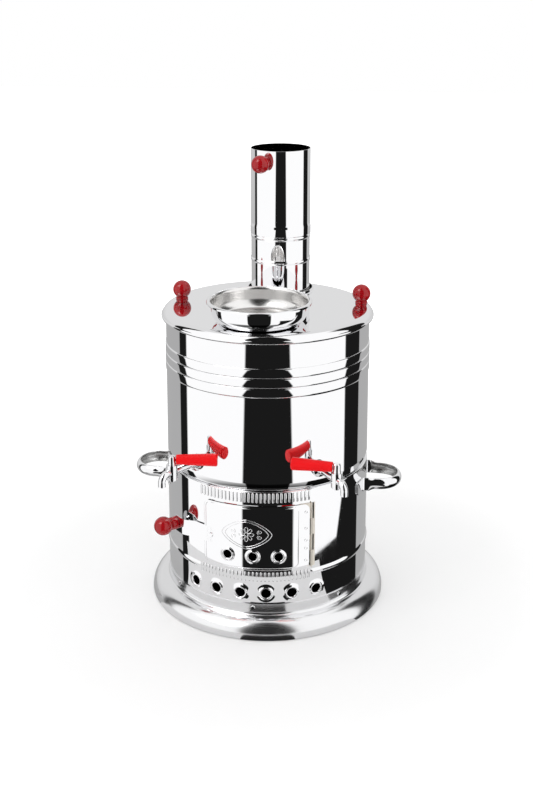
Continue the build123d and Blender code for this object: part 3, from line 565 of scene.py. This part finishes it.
plate = flat_panel("door_plate", -60.3, 65.8, -door_half_h, door_half_h, corner_r=8)
stepped(plate, (0.25, 0.12), (0.5, 0))
panel_half_h = door_half_h - 1.3
panel = flat_panel("door_panel", -58.6, 53.0, -panel_half_h, panel_half_h, corner_r=6.8, steps=12)
stepped(panel, (0.45, 0.12), (0.4, 0.3), (0.45, 0.3), (0.5, 0.08), (0.5, 0))
for piece, rise, wall in (
    (plate, door_sheet - 0.12, door_sheet),
    (panel, door_sheet - 0.3, panel_sheet),
):
    sliced(piece)
    thicken(raised(piece, rise), wall)
    rolled(piece, 0, door_mid, radius=door_in)
door_turns = (-door_hole_pitch, 0, door_hole_pitch)
for piece in (plate, panel):
    for turn in door_turns:
        cut(piece, post(door_mouth + 1.3, turn, body_r, door_hole_z))
    smoothed(piece, 40)
door_collars = []
for i, turn in enumerate(door_turns):
    collar = drawn_collar(f"door_collar_{i}", door_mouth, foot=8.4, rise=1.3, flare=1.2)
    door_collars.append(rolled(collar, turn, door_hole_z, radius=door_in + door_sheet + 0.5))


def eased(value):
    """Goes from 0 to 1 with soft ends."""
    value = min(1, max(0, value))
    return value * value * (3 - 2 * value)


def tongue_lift(at):
    """How far the tongue stands off the door's inner face at an angle."""
    return 0.5 + tongue_out * eased((tongue_start - at) / tongue_run)


tongue_ends = (tongue_x - tongue_w / 2, tongue_x + tongue_w / 2)
tongue = flat_panel("door_tongue", *tongue_ends, -tongue_h / 2, tongue_h / 2, corner_r=0)
choose(tongue, lambda spot: spot.x < tongue_x / 1000)
bpy.ops.mesh.bevel(offset=tongue_corner / 1000, segments=14, affect="VERTICES")
leave_edit()
stepped(tongue, (0.3, 0))
sliced(tongue, 1.4)
thicken(raised(tongue, door_sheet), door_sheet)
rolled(tongue, 0, tongue_z, radius=door_in, lift=tongue_lift)
smoothed(tongue, 40)


def pressed_line(name, points, thick=0.42, closed=True):
    """A fine ridge along points on a flat sheet, in millimetres."""
    mesh = bpy.data.meshes.new(name)
    count = len(points)
    ways = [(i, (i + 1) % count) for i in range(count if closed else count - 1)]
    mesh.from_pydata([(x / 1000, y / 1000, 0) for x, y in points], ways, [])
    line = bpy.data.objects.new(name, mesh)
    bpy.context.scene.collection.objects.link(line)
    only(line)
    bpy.ops.object.convert(target="CURVE")
    line.data.bevel_depth = thick / 1000
    line.data.bevel_resolution = 3
    bpy.ops.object.convert(target="MESH")
    bpy.ops.object.shade_smooth()
    return line


def leaf_outline(half_w, half_h):
    """The pointed oval round the ornament."""
    points = []
    for i in range(96):
        turn = 2 * pi * i / 96
        x, y = abs(cos(turn)) ** 1.35, abs(sin(turn)) ** 1.35
        points.append((copysign(x, cos(turn)) * half_w, copysign(y, sin(turn)) * half_h))
    return points


def petal_outline(way):
    """One petal of the rosette, in the direction of an angle."""
    points = []
    for j in range(20):
        turn = 2 * pi * j / 20
        along, across = 5.2 + 3.4 * cos(turn), 1.6 * sin(turn) * (1 + 0.35 * cos(turn))
        x, y = along * cos(way) - across * sin(way), along * sin(way) + across * cos(way)
        points.append((x, y))
    return points


def scroll_line(side, up):
    """One of the four scrolls that fill the oval's ends."""
    points = []
    for j in range(26):
        reach, turn = 3.4 * (1 - 0.72 * j / 25), radians(-60 + 480 * j / 25)
        x, y = 15.2 - reach * cos(turn) * 0.9, 3.1 + reach * sin(turn) * 0.8
        points.append((side * x, up * y))
    return points


ornament = []
for scale in (1.0, 0.86):
    outline = leaf_outline(ornament_half_w * scale, ornament_half_h * scale)
    ornament.append(pressed_line("ornament_edge", outline))
ornament += [pressed_line("ornament_petal", petal_outline(pi / 4 * i), 0.36) for i in range(8)]
for side in (-1, 1):
    for up in (-1, 1):
        ornament.append(pressed_line("ornament_scroll", scroll_line(side, up), 0.34, closed=False))
for line in ornament:
    rolled(raised(line, door_sheet + 0.4), ornament_turn, ornament_z, radius=door_in)

welds = []
for height in weld_heights:
    ring = spun("weld", through((1.9, -0.02), (1.5, 0.14), (1.1, -0.03), 4), steps=24, crease=60)
    welds.append(rolled(raised(ring, door_sheet), weld_turn, height, radius=door_in))
door = joined("fire_door_pressed", [plate, panel, tongue] + door_collars + ornament + welds)
paint(door, polished_steel)
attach(door, "door")
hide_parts("fire_door")
for name in ("door_catch", "door_catch_rivet", "latch_knob_screw"):
    paint(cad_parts[name], polished_steel)

# ---- tank ---------------------------------------------------------------------------------------
# The water tank's wall is a rolled and seamed tube of the same mirror-polished sheet, with three
# swaged beads under the lid. Its drawn floor pan is welded on at the crease above the casing, and
# the flue stands in it.

tank_top, seam_z = 353.3, 181.5
bead_rise, bead_curl, bead_foot, bead_pitch, bead_count = 0.9, 1.9, 283.0, 11.2, 3
bends = [radians(turn) for turn in (6, 12, 20, 30, 42, 55, 70, 90)]
pan_r, pan_corner = 118.5, 2.8
flue_at, flue_hole_r = (5.0, 78.5), 35.3


def swaged_bead(low, high):
    """One bead of the tank's wall between two heights, rounded at both edges."""
    edge = [(body_r + bead_rise * sin(t), bead_curl * (1 - cos(t))) for t in bends]
    crown = [(body_r + bead_rise + 0.02, (low + high) / 2)]
    return [(r, low + z) for r, z in edge] + crown + [(r, high - z) for r, z in reversed(edge)]


def bored(piece, radius, height, vertices, crease):
    """Cuts the round hole for the flue into a level sheet."""
    spot = (flue_at[0] / 1000, flue_at[1] / 1000, height / 1000)
    bpy.ops.mesh.primitive_cylinder_add(
        vertices=vertices, radius=radius / 1000, depth=0.02, location=spot
    )
    set_place()
    cut(piece, bpy.context.object)
    smoothed(piece, crease)


wall_rows = (seam_z, seam_z + 0.3, 230, 281.6, 282.4, bead_foot - 0.1)
neck_rows = (316.7, 317.2, 318, 335, tank_top)
tank_section = [(body_r, row) for row in wall_rows]
for i in range(bead_count):
    tank_section += swaged_bead(bead_foot + i * bead_pitch, bead_foot + (i + 1) * bead_pitch)
tank_section += [(body_r, row) for row in neck_rows]
tank = spun("tank_wall", tank_section, wall=sheet, steps=480, crease=50)
pan = spun(
    "tank_pan",
    [(0, casing_top), (pan_r - pan_corner - 0.3, casing_top)]
    + arc((pan_r - pan_corner, casing_top + pan_corner), pan_corner, -90, 0)
    + [(pan_r + 0.1, casing_top + 3.2), (body_r - 0.06, seam_z - 0.3), (body_r - 0.02, seam_z)],
    wall=sheet,
    steps=480,
    crease=20,
)
bored(pan, flue_hole_r, casing_top, vertices=96, crease=20)
for piece, name in ((tank, "tank_shell"), (pan, "tank_floor")):
    paint(piece, polished_steel)
    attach(piece, "base")
    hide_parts(name)
inner_steel = mottled_steel("inner_steel", (0.6, 0.6, 0.6), (0.42, 0.42, 0.42), 0.32)
paint(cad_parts["flue_tube"], inner_steel)

# ---- taps ---------------------------------------------------------------------------------------
# Two chromed brass taps, each with a turned body screwed through the tank wall against a rubber
# seal, and a taper plug turned by a lever with a red plastic grip.

chrome = polished("tap_chrome", (0.9, 0.9, 0.91), 0.06, 1e-6, 120)


def plastic(name, colour, roughness, shine=0.5, orange_peel=2e-6, streak=0.12):
    """Moulded plastic or rubber, a little uneven in colour and surface."""
    finish, tree, shader, spot = new_finish(name)
    shader.inputs["Roughness"].default_value = roughness
    shader.inputs["Specular IOR Level"].default_value = shine
    dark = [part * (1 - streak) for part in colour]
    cloud = node(tree, "TexNoise", {"Vector": spot, "Scale": 70, "Detail": 2})["Fac"]
    shades = {"Factor": cloud, "A": (*colour, 1), "B": (*dark, 1)}
    tint = node(tree, "Mix", shades, data_type="RGBA")["Result"]
    tree.links.new(tint, shader.inputs["Base Color"])
    peel = node(tree, "TexNoise", {"Vector": spot, "Scale": 900})["Fac"]
    tree.links.new(relief_of(tree, peel, orange_peel), shader.inputs["Normal"])
    return finish


red_grip = plastic("red_grip", (0.93, 0.002, 0.006), 0.3, shine=0.25)
seal_rubber = plastic("seal_rubber", (0.02, 0.02, 0.02), 0.6)
for side in ("left", "right"):
    for part in ("body", "nut", "plug", "plug_screw"):
        paint(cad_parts[f"tap_{part}_{side}"], chrome)
    paint(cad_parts[f"tap_seal_{side}"], seal_rubber)
    paint(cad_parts[f"tap_grip_{side}"], red_grip)

# ---- handles ------------------------------------------------------------------------------------
# Half-round strips of polished steel pressed hollow and bent into loops. Their feet are spot-welded
# to the casing.

handle_z, loop_half, loop_reach, loop_bend = 148.5, 28.0, 162.0, 27.0
strip_sheet, strip_half, foot_half, edge_round = 1.2, 7, 8.3, 0.35
crown_r = 7.69  # of the half-round section
fold_lead, fold_run, tip_run, tip_taper = 11, 9, 6, 0.72
foot_face, foot_bend = body_r + seat_gap + strip_sheet, 3.0
foot_at = degrees(asin((loop_half + foot_bend) / (foot_face + foot_bend)))


def loop_route():
    """Half of the loop's plan as (length, turn in degrees) steps from its middle to a foot."""
    arm = (loop_reach - loop_bend) - (foot_face + foot_bend) * cos(radians(foot_at))
    route = [(loop_half - loop_bend, 0)]
    route += [(loop_bend * radians(5), 5)] * 18
    route += [(arm / 8, 0)] * 8
    fold = 90 - foot_at
    route += [(foot_bend * radians(fold / 8), -fold / 8)] * 8
    route += [(foot_face * radians(1), 1)] * 8
    return route


def loop_stops(route):
    """Places along half of the loop, each with its heading and the length so far."""
    along, x, y, heading = 0.0, loop_reach, 0.0, 90.0
    stops = [(x, y, heading, along)]
    for length, turn in route:
        heading += turn / 2
        x += length * cos(radians(heading))
        y += length * sin(radians(heading))
        heading += turn / 2
        along += length
        stops.append((x, y, heading, along))
    return stops


def loop_handle(name, sign):
    """A strip pressed half-round, bent into a loop and flattened at its feet."""
    route = loop_route()
    stops = loop_stops(route)
    whole, fold_start = stops[-1][3], stops[len(route) - 16][3]
    bpy.ops.object.select_all(action="DESELECT")
    bpy.ops.mesh.primitive_grid_add(x_subdivisions=2 * len(route), y_subdivisions=12, size=2)
    strip = bpy.context.object
    strip.name = name
    for point in strip.data.vertices:
        step, v = round(point.co.x * len(route)), point.co.y
        x, y, heading, gone = stops[abs(step)]
        flat = eased((gone - fold_start + fold_lead) / fold_run)
        end = min(1, max(0, (gone - whole + tip_run) / tip_run))
        half = (strip_half + (foot_half - strip_half) * flat) * sqrt(1 - tip_taper * end * end)
        hollow = (1 - flat) * (crown_r - sqrt(crown_r**2 - (strip_half * v) ** 2))
        out = radians(heading - 90)
        px, py = x - hollow * cos(out), y - hollow * sin(out)
        point.co = Vector((sign * px, py if step >= 0 else -py, handle_z + v * half)) / 1000
    strip.data.update()
    only(strip)
    edit_all()
    bpy.ops.mesh.normals_make_consistent(inside=False)
    leave_edit()
    middle = max(strip.data.polygons, key=lambda face: abs(face.center.x))
    if middle.normal.x * sign < 0:
        strip.data.flip_normals()
    thicken(strip, strip_sheet)
    edge = strip.modifiers.new("edge", "BEVEL")
    edge.width = edge_round / 1000
    edge.segments = 3
    edge.limit_method = "ANGLE"
    edge.angle_limit = radians(50)
    bpy.ops.object.modifier_apply(modifier="edge")
    smoothed(strip, 40)
    return strip


inner_brushed = satin("inner_brushed", (0.55, 0.55, 0.54), 0.28)
for side, sign in (("left", -1), ("right", 1)):
    handle = loop_handle(f"handle_{side}_pressed", sign)
    paint(handle, chrome)
    handle.data.materials.append(inner_brushed)
    middle = Vector((sign * (loop_reach - loop_half) / 1000, 0, 0))
    for face in handle.data.polygons:
        inwards = (middle - face.center) * Vector((1, 1, 0))
        off_wall = abs(face.center.x) > (body_r + 4) / 1000
        if off_wall and face.normal.dot(inwards.normalized()) > 0.25:
            face.material_index = 1
    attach(handle, "base")
    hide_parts(f"handle_{side}")

# ---- lid ----------------------------------------------------------------------------------------
# Spun lid with a flat top, a round shoulder that drops over the tank's neck, a rolled rim and a
# hole drawn up into a collar for the flue. Two moulded knobs are screwed on from below.

lid_z, flat_r = 355.698, body_r - 4.5
shoulder_r, shoulder_end = 9.25, 124.2
rim_top, rim_side, rim_foot = 349.5, (125.2, 347.49), (123.9, 345.39)
shoulder_z = lid_z - shoulder_r
neck_in, neck_out, neck_low, neck_top = 39.3, 40.1, 353.7, 359.1
knob_reach, knob_turn, knob_middle = 107.6, radians(2.75), (1.4, 20.7)
lean = radians(35)  # to the middle of the shoulder's arc
shoulder_middle = (flat_r + shoulder_r * sin(lean), shoulder_z + shoulder_r * cos(lean))
lid_section = [(0, lid_z), (60, lid_z), (110, lid_z), (flat_r - 0.5, lid_z)]
lid_section += through((flat_r, lid_z), shoulder_middle, (shoulder_end, shoulder_z + 3.14), 14)
lid_section += through((shoulder_end + 0.05, rim_top), rim_side, rim_foot, 10)
lid = spun("lid_spun", lid_section, wall=sheet, steps=480, crease=40)
bored(lid, neck_out + 0.1, lid_z, vertices=128, crease=40)
lid_collar = spun(
    "lid_collar",
    [(neck_in, neck_low), (neck_in, neck_top)]
    + arc((neck_in + 0.4, neck_top - 0.2), 0.4, 180, 0, 6)
    + [(neck_out, neck_top - 1.5)]
    + arc((neck_out + 1.8, neck_top - 1.6), 1.8, 180, 270, 8),
    axis_at=flue_at,
    steps=192,
    crease=50,
)
lid = joined("lid_drawn", [lid, lid_collar])
paint(lid, polished_steel)
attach(lid, "lid_group")
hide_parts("lid")
paint(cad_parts["lid_knob_screws"], chrome)

red_plastic = plastic("red_plastic", (0.47, 0.003, 0.008), 0.13, orange_peel=1e-6, streak=0.45)


def ball_knob(name, foot_h=2.3):
    """A moulded ball knob standing on its foot, in millimetres."""
    ball_r, foot_r, neck_r = 10.8, 7.3, 6.4
    ball_foot = foot_h + 0.8
    centre = ball_foot + sqrt(ball_r**2 - neck_r**2)
    bare = degrees(atan2(ball_foot - centre, neck_r))
    return spun(
        name,
        [(0, 0), (foot_r - 0.5, 0)]
        + arc((foot_r - 0.45, 0.45), 0.45, -90, 0, 3)
        + arc((foot_r - 0.6, foot_h - 0.6), 0.6, 0, 80, 4)
        + through((6.62, foot_h + 0.12), (6.42, ball_foot - 0.12), (6.66, ball_foot + 0.25), 5)
        + arc((0, centre), ball_r, bare + 3, 90, 28),
        steps=72,
        crease=50,
    )


def faced(piece, turn, reach, height, centre=(0, 0)):
    """Turns an upright piece so that it points outwards from an upright axis."""
    way = Vector((sin(radians(turn)), -cos(radians(turn)), 0))
    side = Vector((cos(radians(turn)), sin(radians(turn)), 0))
    spot = Vector((*centre, height)) / 1000 + way * (reach / 1000)
    rows = ((side.x, 0, way.x, spot.x), (side.y, 0, way.y, spot.y), (0, 1, 0, spot.z))
    piece.data.transform(Matrix((*rows, (0, 0, 0, 1))))
    return piece


for side, sign in (("left", -1), ("right", 1)):
    knob = ball_knob(f"lid_knob_{side}_moulded")
    x = knob_middle[0] + sign * knob_reach * cos(knob_turn)
    y = knob_middle[1] + sign * knob_reach * sin(knob_turn)
    knob.data.transform(Matrix.Translation(Vector((x, y, lid_z)) / 1000))
    paint(knob, red_plastic)
    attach(knob, "lid_group")
    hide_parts(f"lid_knob_{side}")
latch_knob = ball_knob("latch_knob_moulded", foot_h=7.5)
faced(latch_knob, turn=-48, reach=128.8, height=tongue_z)
paint(latch_knob, red_plastic)
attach(latch_knob, "door")
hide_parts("latch_knob")

# ---- bowl ---------------------------------------------------------------------------------------
# A loose spun dish that keeps the teapot warm, satin inside and polished outside, with its lip
# rolled down.

bowl_y, bowl_z = -67.0, 355.998
bottom_r, bottom_corner, wall_r, lip_r, rim_out = 40, 13.935, 54.5, 57.0, 59.8
bowl_h, satin_h, dull_h = 25.5, 25, 3
bowl_mouth = Vector((0, bowl_y, 380)) / 1000


def above_lid(points):
    """Points of the bowl's section with their heights counted from its bottom."""
    return [(r, bowl_z + z) for r, z in points]


bowl_section = above_lid(
    [(0, 0), (30, 0), (bottom_r - 0.4, 0)]
    + arc((bottom_r, bottom_corner), bottom_corner, -90, -8, 16)
    + [(wall_r - 0.3, 17.8), (wall_r - 0.05, 21.6)]
    + through((wall_r, 22.1), (55.35, 24.3), (lip_r, bowl_h), 8)
    + through((lip_r + 0.25, bowl_h), (58.9, 24.8), (rim_out, 22.3), 8)
)
bowl = spun("bowl_spun", bowl_section, wall=sheet, axis_at=(0, bowl_y), steps=360, crease=40)
bowl_satin = satin("bowl_satin", (0.88, 0.87, 0.86), 0.24, at=(0, bowl_y))
bowl_dull = satin("bowl_dull", (0.5, 0.49, 0.48), 0.3, at=(0, bowl_y))
paint(bowl, polished_steel)
bowl.data.materials.append(bowl_satin)
bowl.data.materials.append(bowl_dull)
for face in bowl.data.polygons:
    if face.normal.dot(bowl_mouth - face.center) > 0 and face.center.z < (bowl_z + satin_h) / 1000:
        face.material_index = 1 if face.center.z > (bowl_z + dull_h) / 1000 else 2
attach(bowl, "bowl_group")
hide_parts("bowl")

# ---- chimney ------------------------------------------------------------------------------------
# Two rolled pipes of polished sheet: the lower one has two swaged beads and slips over the flue,
# and the upper one's widened foot slips over the lower. A ball knob is fixed near the top.

lower_r, lower_foot, lower_top = 36.1, 359.598, 436.998
pipe_beads, pipe_bead_rise, pipe_bead_half = (395.998, 425.498), 1.0, 2.5
upper_r, upper_foot, chimney_top = 36.5, 428.298, 532.298
swage_rise, swage_top, swage_end, knob_drop = 0.6, 436.6, 440.6, 14.2
lower_section = [(lower_r, lower_foot)]
for middle in pipe_beads:
    foot, head = middle - pipe_bead_half, middle + pipe_bead_half
    crown = (lower_r + pipe_bead_rise, middle)
    lower_section += [(lower_r, foot - 0.7), (lower_r, foot - 0.2)]
    lower_section += through((lower_r, foot), crown, (lower_r, head), 10)
    lower_section += [(lower_r, head + 0.2), (lower_r, head + 0.7)]
lower_section += [(lower_r, lower_top)]
lower_pipe = spun(
    "chimney_lower_rolled", lower_section, wall=sheet, axis_at=flue_at, steps=240, crease=40
)
swage_r = upper_r + swage_rise
steps_in = ((0.02, 0.4), (0.12, 1.6), (0.3, 2.2))  # inwards and up from the swage's top
steps_down = ((0.25, 1.4), (0.1, 0.6), (0, 0))  # outwards and down from the bend's end
swage_bend = through(*[(swage_r - x, swage_top + z) for x, z in steps_in], 4)
swage_bend += through(*[(upper_r + x, swage_end - z) for x, z in steps_down], 4)
upper_pipe = spun(
    "chimney_upper_rolled",
    [(swage_r, upper_foot), (swage_r, upper_foot + 0.4), (swage_r, swage_top)]
    + swage_bend
    + [(upper_r, swage_end + 1.4), (upper_r, 480), (upper_r, chimney_top)],
    wall=sheet,
    axis_at=flue_at,
    steps=240,
    crease=40,
)
for piece, body, name in (
    (lower_pipe, "lower_pipe", "chimney_lower"),
    (upper_pipe, "upper_pipe", "chimney_upper"),
):
    paint(piece, polished_steel)
    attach(piece, body)
    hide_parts(name)
paint(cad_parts["chimney_knob_stud"], chrome)
chimney_knob = ball_knob("chimney_knob_moulded")
knob_z = chimney_top - knob_drop
faced(chimney_knob, turn=-22.5, reach=upper_r + 0.1, height=knob_z, centre=flue_at)
paint(chimney_knob, red_plastic)
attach(chimney_knob, "upper_pipe")
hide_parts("chimney_knob")

# ---- studio light -------------------------------------------------------------------------------
# A white room with a dark flag in front and one at each side. The polished steel shows them as the
# black bands that draw its shape, and everything else gets an even light from all round.

view_turn = 8.0  # the camera stands to the right of the front
soft_level = 0.93
front_flag_top, side_flag_top = 84.0, 50.0
left_flag_edges, right_flag_end = (-117.0, -103.0), 126.0
lamp_sides, lamp_heights = (-72.0, -34.0), (38.0, 62.0)
wall_tone, lamp_tone, flag_depth, ground_dark = 1.05, 3.5, 0.99, 0.9

world = bpy.data.worlds.new("studio")
bpy.context.scene.world = world
world.use_nodes = True
sky = world.node_tree
sky.nodes.clear()


def sums(kind, *values, tree=sky):
    """One step of arithmetic between nodes and numbers."""
    return node(tree, "Math", dict(enumerate(values)), operation=kind)[0]


def step_at(value, edge, soft):
    """Rises from 0 to 1 as a value passes an edge."""
    low, high = sums("SUBTRACT", edge, soft), sums("ADD", edge, soft)
    return ramp(sky, value, low, high, 0.0, 1.0, kind="SMOOTHSTEP")


def below(value, edge, soft):
    """Falls from 1 to 0 as a value passes an edge."""
    return sums("SUBTRACT", 1.0, step_at(value, edge, soft))


def band(value, low, high, soft=1.2):
    """One between two edges and zero outside them."""
    return sums("MULTIPLY", step_at(value, low, soft), below(value, high, soft))


way = node(sky, "SeparateXYZ", {0: node(sky, "TexCoord", {})["Generated"]})
around = sums("ARCTAN2", way["X"], sums("MULTIPLY", way["Y"], -1.0))
around = sums("SUBTRACT", sums("MULTIPLY", around, degrees(1)), view_turn)
height = sums("MULTIPLY", sums("ARCSINE", way["Z"]), degrees(1))
down = sums("MULTIPLY", height, -1.0)

# the front flag narrows towards its middle height and widens again at its foot
front_half = sums(
    "ADD",
    ramp(sky, down, -4.0, 8.0, 26.0, 18.5, kind="SMOOTHSTEP"),
    ramp(sky, down, 8.0, 24.0, 0.0, 10.0),
)
front_flag = band(around, sums("MULTIPLY", front_half, -1.0), front_half)
front_flag = sums("MULTIPLY", front_flag, below(height, front_flag_top, 4.0))

# the right flag's foot reaches forwards
right_flag_start = sums(
    "SUBTRACT", ramp(sky, down, 23.5, 26.0, 97.0, 86.0), ramp(sky, down, 26.0, 26.9, 0.0, 34.0)
)
side_flags = sums(
    "MAXIMUM", band(around, *left_flag_edges), band(around, right_flag_start, right_flag_end)
)
side_flags = sums("MULTIPLY", side_flags, below(height, side_flag_top, 6.0))
flags = sums("MULTIPLY", sums("MAXIMUM", front_flag, side_flags), flag_depth)

# behind the side flags the room is grey, darker near the ground
grey_sides = sums(
    "MAXIMUM", below(around, left_flag_edges[0], 1.0), step_at(around, right_flag_end, 1.0)
)
side_tone = sums(
    "ADD", ramp(sky, height, -16.0, -8.0, 0.43, 0.63), ramp(sky, height, -8.0, 14.0, 0.0, 0.13)
)
side_tone = sums("MULTIPLY", grey_sides, sums("SUBTRACT", side_tone, wall_tone))
ground = sums("MULTIPLY", step_at(down, 42.0, 6.0), ground_dark)
tone = sums("ADD", wall_tone, side_tone)
tone = sums("MULTIPLY", tone, sums("SUBTRACT", 1.0, flags))
tone = sums("MULTIPLY", tone, sums("SUBTRACT", 1.0, ground))

# a lamp high on the left draws the gloss on the rims
lamp_patch = sums("MULTIPLY", band(around, *lamp_sides, 3.0), band(height, *lamp_heights, 3.0))
tone = sums("ADD", tone, sums("MULTIPLY", lamp_patch, lamp_tone))

# polished pieces mirror that room, and dull ones and the camera see plain white
path = node(sky, "LightPath", {})
seen = sums("MAXIMUM", path["Is Camera Ray"], path["Is Transmission Ray"])
level = sums("MULTIPLY", path["Is Glossy Ray"], sums("SUBTRACT", tone, soft_level))
level = sums("ADD", level, soft_level)
level = sums("ADD", sums("MULTIPLY", seen, sums("SUBTRACT", 1.0, level)), level)
glow = node(sky, "Background", {"Strength": level, "Color": (1, 1, 1, 1)})[0]
node(sky, "OutputWorld", {"Surface": glow})

# lamps by size, place and aim in metres, and power in watts
for name, size, spot, aim, power in (
    ("softbox_left", 1.2, (-1.6, -1.5, 2.0), (0, 0, 0.25), 7),
    ("softbox_right", 1.2, (1.9, -0.9, 1.7), (0, 0, 0.25), 3),
    ("softbox_top", 1.6, (0, 0.4, 2.6), (0, 0, 0.2), 3),
):
    lamp = bpy.data.lights.new(name, "AREA")
    lamp.shape = "SQUARE"
    lamp.size = size
    lamp.energy = power
    box = bpy.data.objects.new(name, lamp)
    box.location = spot
    box.rotation_euler = (Vector(aim) - Vector(spot)).to_track_quat("-Z", "Y").to_euler()
    box.visible_glossy = False
    bpy.context.scene.collection.objects.link(box)

# ---- table top ----------------------------------------------------------------------------------
# A wide white table top. Seen from polished steel it has painted shade near the samovar, where the
# front flag and the sides of the room would shade it, and polished steel sees past its far part to
# the room behind.

mirror_end, side_bearings, left_bearings = 0.272, (56.0, 140.0), (-75.5, -65.5)
left_skew, skew_from = 145.0, 0.185  # the left edge turns by degrees for each metre outwards
flag_foot, flag_far, flag_half, flag_widening, back_bearing = 0.187, 0.25, 13.0, 8.0, 125.0
# painted shade that polished steel sees on the table: all over, in front and behind
table_tone, mirror_shade, front_shade, back_shade = 0.93, 0.17, 0.75, 0.3

bpy.ops.mesh.primitive_plane_add(size=12, location=(0, 0, 0))
floor = bpy.context.object
floor.name = "floor"
table_white = bpy.data.materials.new("table_white")
table_white.use_nodes = True
table = table_white.node_tree
table_paint = table.nodes["Principled BSDF"]
table_paint.inputs["Roughness"].default_value = 0.8
table_paint.inputs["Specular IOR Level"].default_value = 0.1
paint(floor, table_white)


def on_table(kind, *values):
    """One step of arithmetic in the table's finish."""
    return sums(kind, *values, tree=table)


def over(value, edge):
    """One where a value is above an edge."""
    return on_table("GREATER_THAN", value, edge)


def under(value, edge):
    """One where a value is below an edge."""
    return on_table("LESS_THAN", value, edge)


spot = node(table, "SeparateXYZ", {0: node(table, "NewGeometry", {})["Position"]})
squares = [on_table("POWER", spot[axis], 2.0) for axis in ("X", "Y")]
reach = on_table("SQRT", on_table("ADD", *squares))
bearing = on_table("ARCTAN2", spot["X"], on_table("MULTIPLY", spot["Y"], -1.0))
bearing = on_table("MULTIPLY", bearing, degrees(1))
skewed = on_table("MULTIPLY", on_table("SUBTRACT", reach, skew_from), left_skew)
skewed = on_table("ADD", bearing, skewed)
ray = node(table, "LightPath", {})
mirrored = ray["Is Glossy Ray"]

right_gap = on_table("MULTIPLY", over(bearing, side_bearings[0]), under(bearing, side_bearings[1]))
left_gap = on_table("MULTIPLY", over(skewed, left_bearings[0]), under(skewed, left_bearings[1]))
unseen = on_table("MAXIMUM", over(reach, mirror_end), on_table("MAXIMUM", right_gap, left_gap))
unseen = on_table("MULTIPLY", mirrored, unseen)

# painted shade: for rays from polished steel the table is darkened a little everywhere, strongly in
# front where the front flag stands, and partly behind and on the left
wide = over(reach, flag_far)
off_front = on_table("ABSOLUTE", on_table("SUBTRACT", bearing, view_turn))
flag_edge = on_table("ADD", flag_half, on_table("MULTIPLY", wide, flag_widening))
front = on_table("ADD", under(reach, flag_foot), wide)
front = on_table("MULTIPLY", under(off_front, flag_edge), front)
behind = on_table("ADD", under(skewed, left_bearings[0]), over(bearing, back_bearing))
behind = on_table("MULTIPLY", behind, back_shade)
shade = on_table("ADD", on_table("MULTIPLY", front, front_shade), behind)
shade = on_table("MULTIPLY", mirrored, on_table("ADD", mirror_shade, shade))
table.links.new(on_table("SUBTRACT", table_tone, shade), table_paint.inputs["Base Color"])

# painted light: seen by the camera, the table glows, more the further it is from the samovar, so
# its far part reads plain white
seen = on_table("MAXIMUM", ray["Is Camera Ray"], ray["Is Transmission Ray"])
painted_glow = on_table("MULTIPLY", seen, ramp(table, reach, 0.3, 1.6, 0.07, 0.9))
bright = node(table, "Emission", {"Strength": painted_glow})[0]
lit = node(table, "AddShader", {0: table_paint.outputs[0], 1: bright})[0]
clear = node(table, "BsdfTransparent", {})[0]
top = node(table, "MixShader", {0: unseen, 1: lit, 2: clear})[0]
table.links.new(top, table.nodes["Material Output"].inputs["Surface"])

# ---- camera -------------------------------------------------------------------------------------
# A long lens stands to the right of the door, higher than the chimney, and looks down a little.
# The shift sets where the samovar stands in the frame.

frame_h = 800  # pixels, which the lens and the shift are given in
lens_reach, shift_right, shift_up = 1240.27, -1.1, -160
camera_far, camera_up, camera_dip = 1.4123, 0.75005, 12.59

camera_data = bpy.data.cameras.new("camera")
camera_data.sensor_fit = "VERTICAL"
camera_data.sensor_width = 36
camera_data.sensor_height = 36
camera_data.lens = lens_reach / frame_h * 36
camera_data.shift_x = shift_right / frame_h
camera_data.shift_y = shift_up / frame_h
camera = bpy.data.objects.new("camera", camera_data)
turn = radians(view_turn)
camera.location = (camera_far * sin(turn), -camera_far * cos(turn), camera_up)
camera.rotation_euler = (radians(90 - camera_dip), 0, turn)
bpy.context.scene.collection.objects.link(camera)
bpy.context.scene.camera = camera
bpy.context.scene.view_settings.view_transform = "Standard"
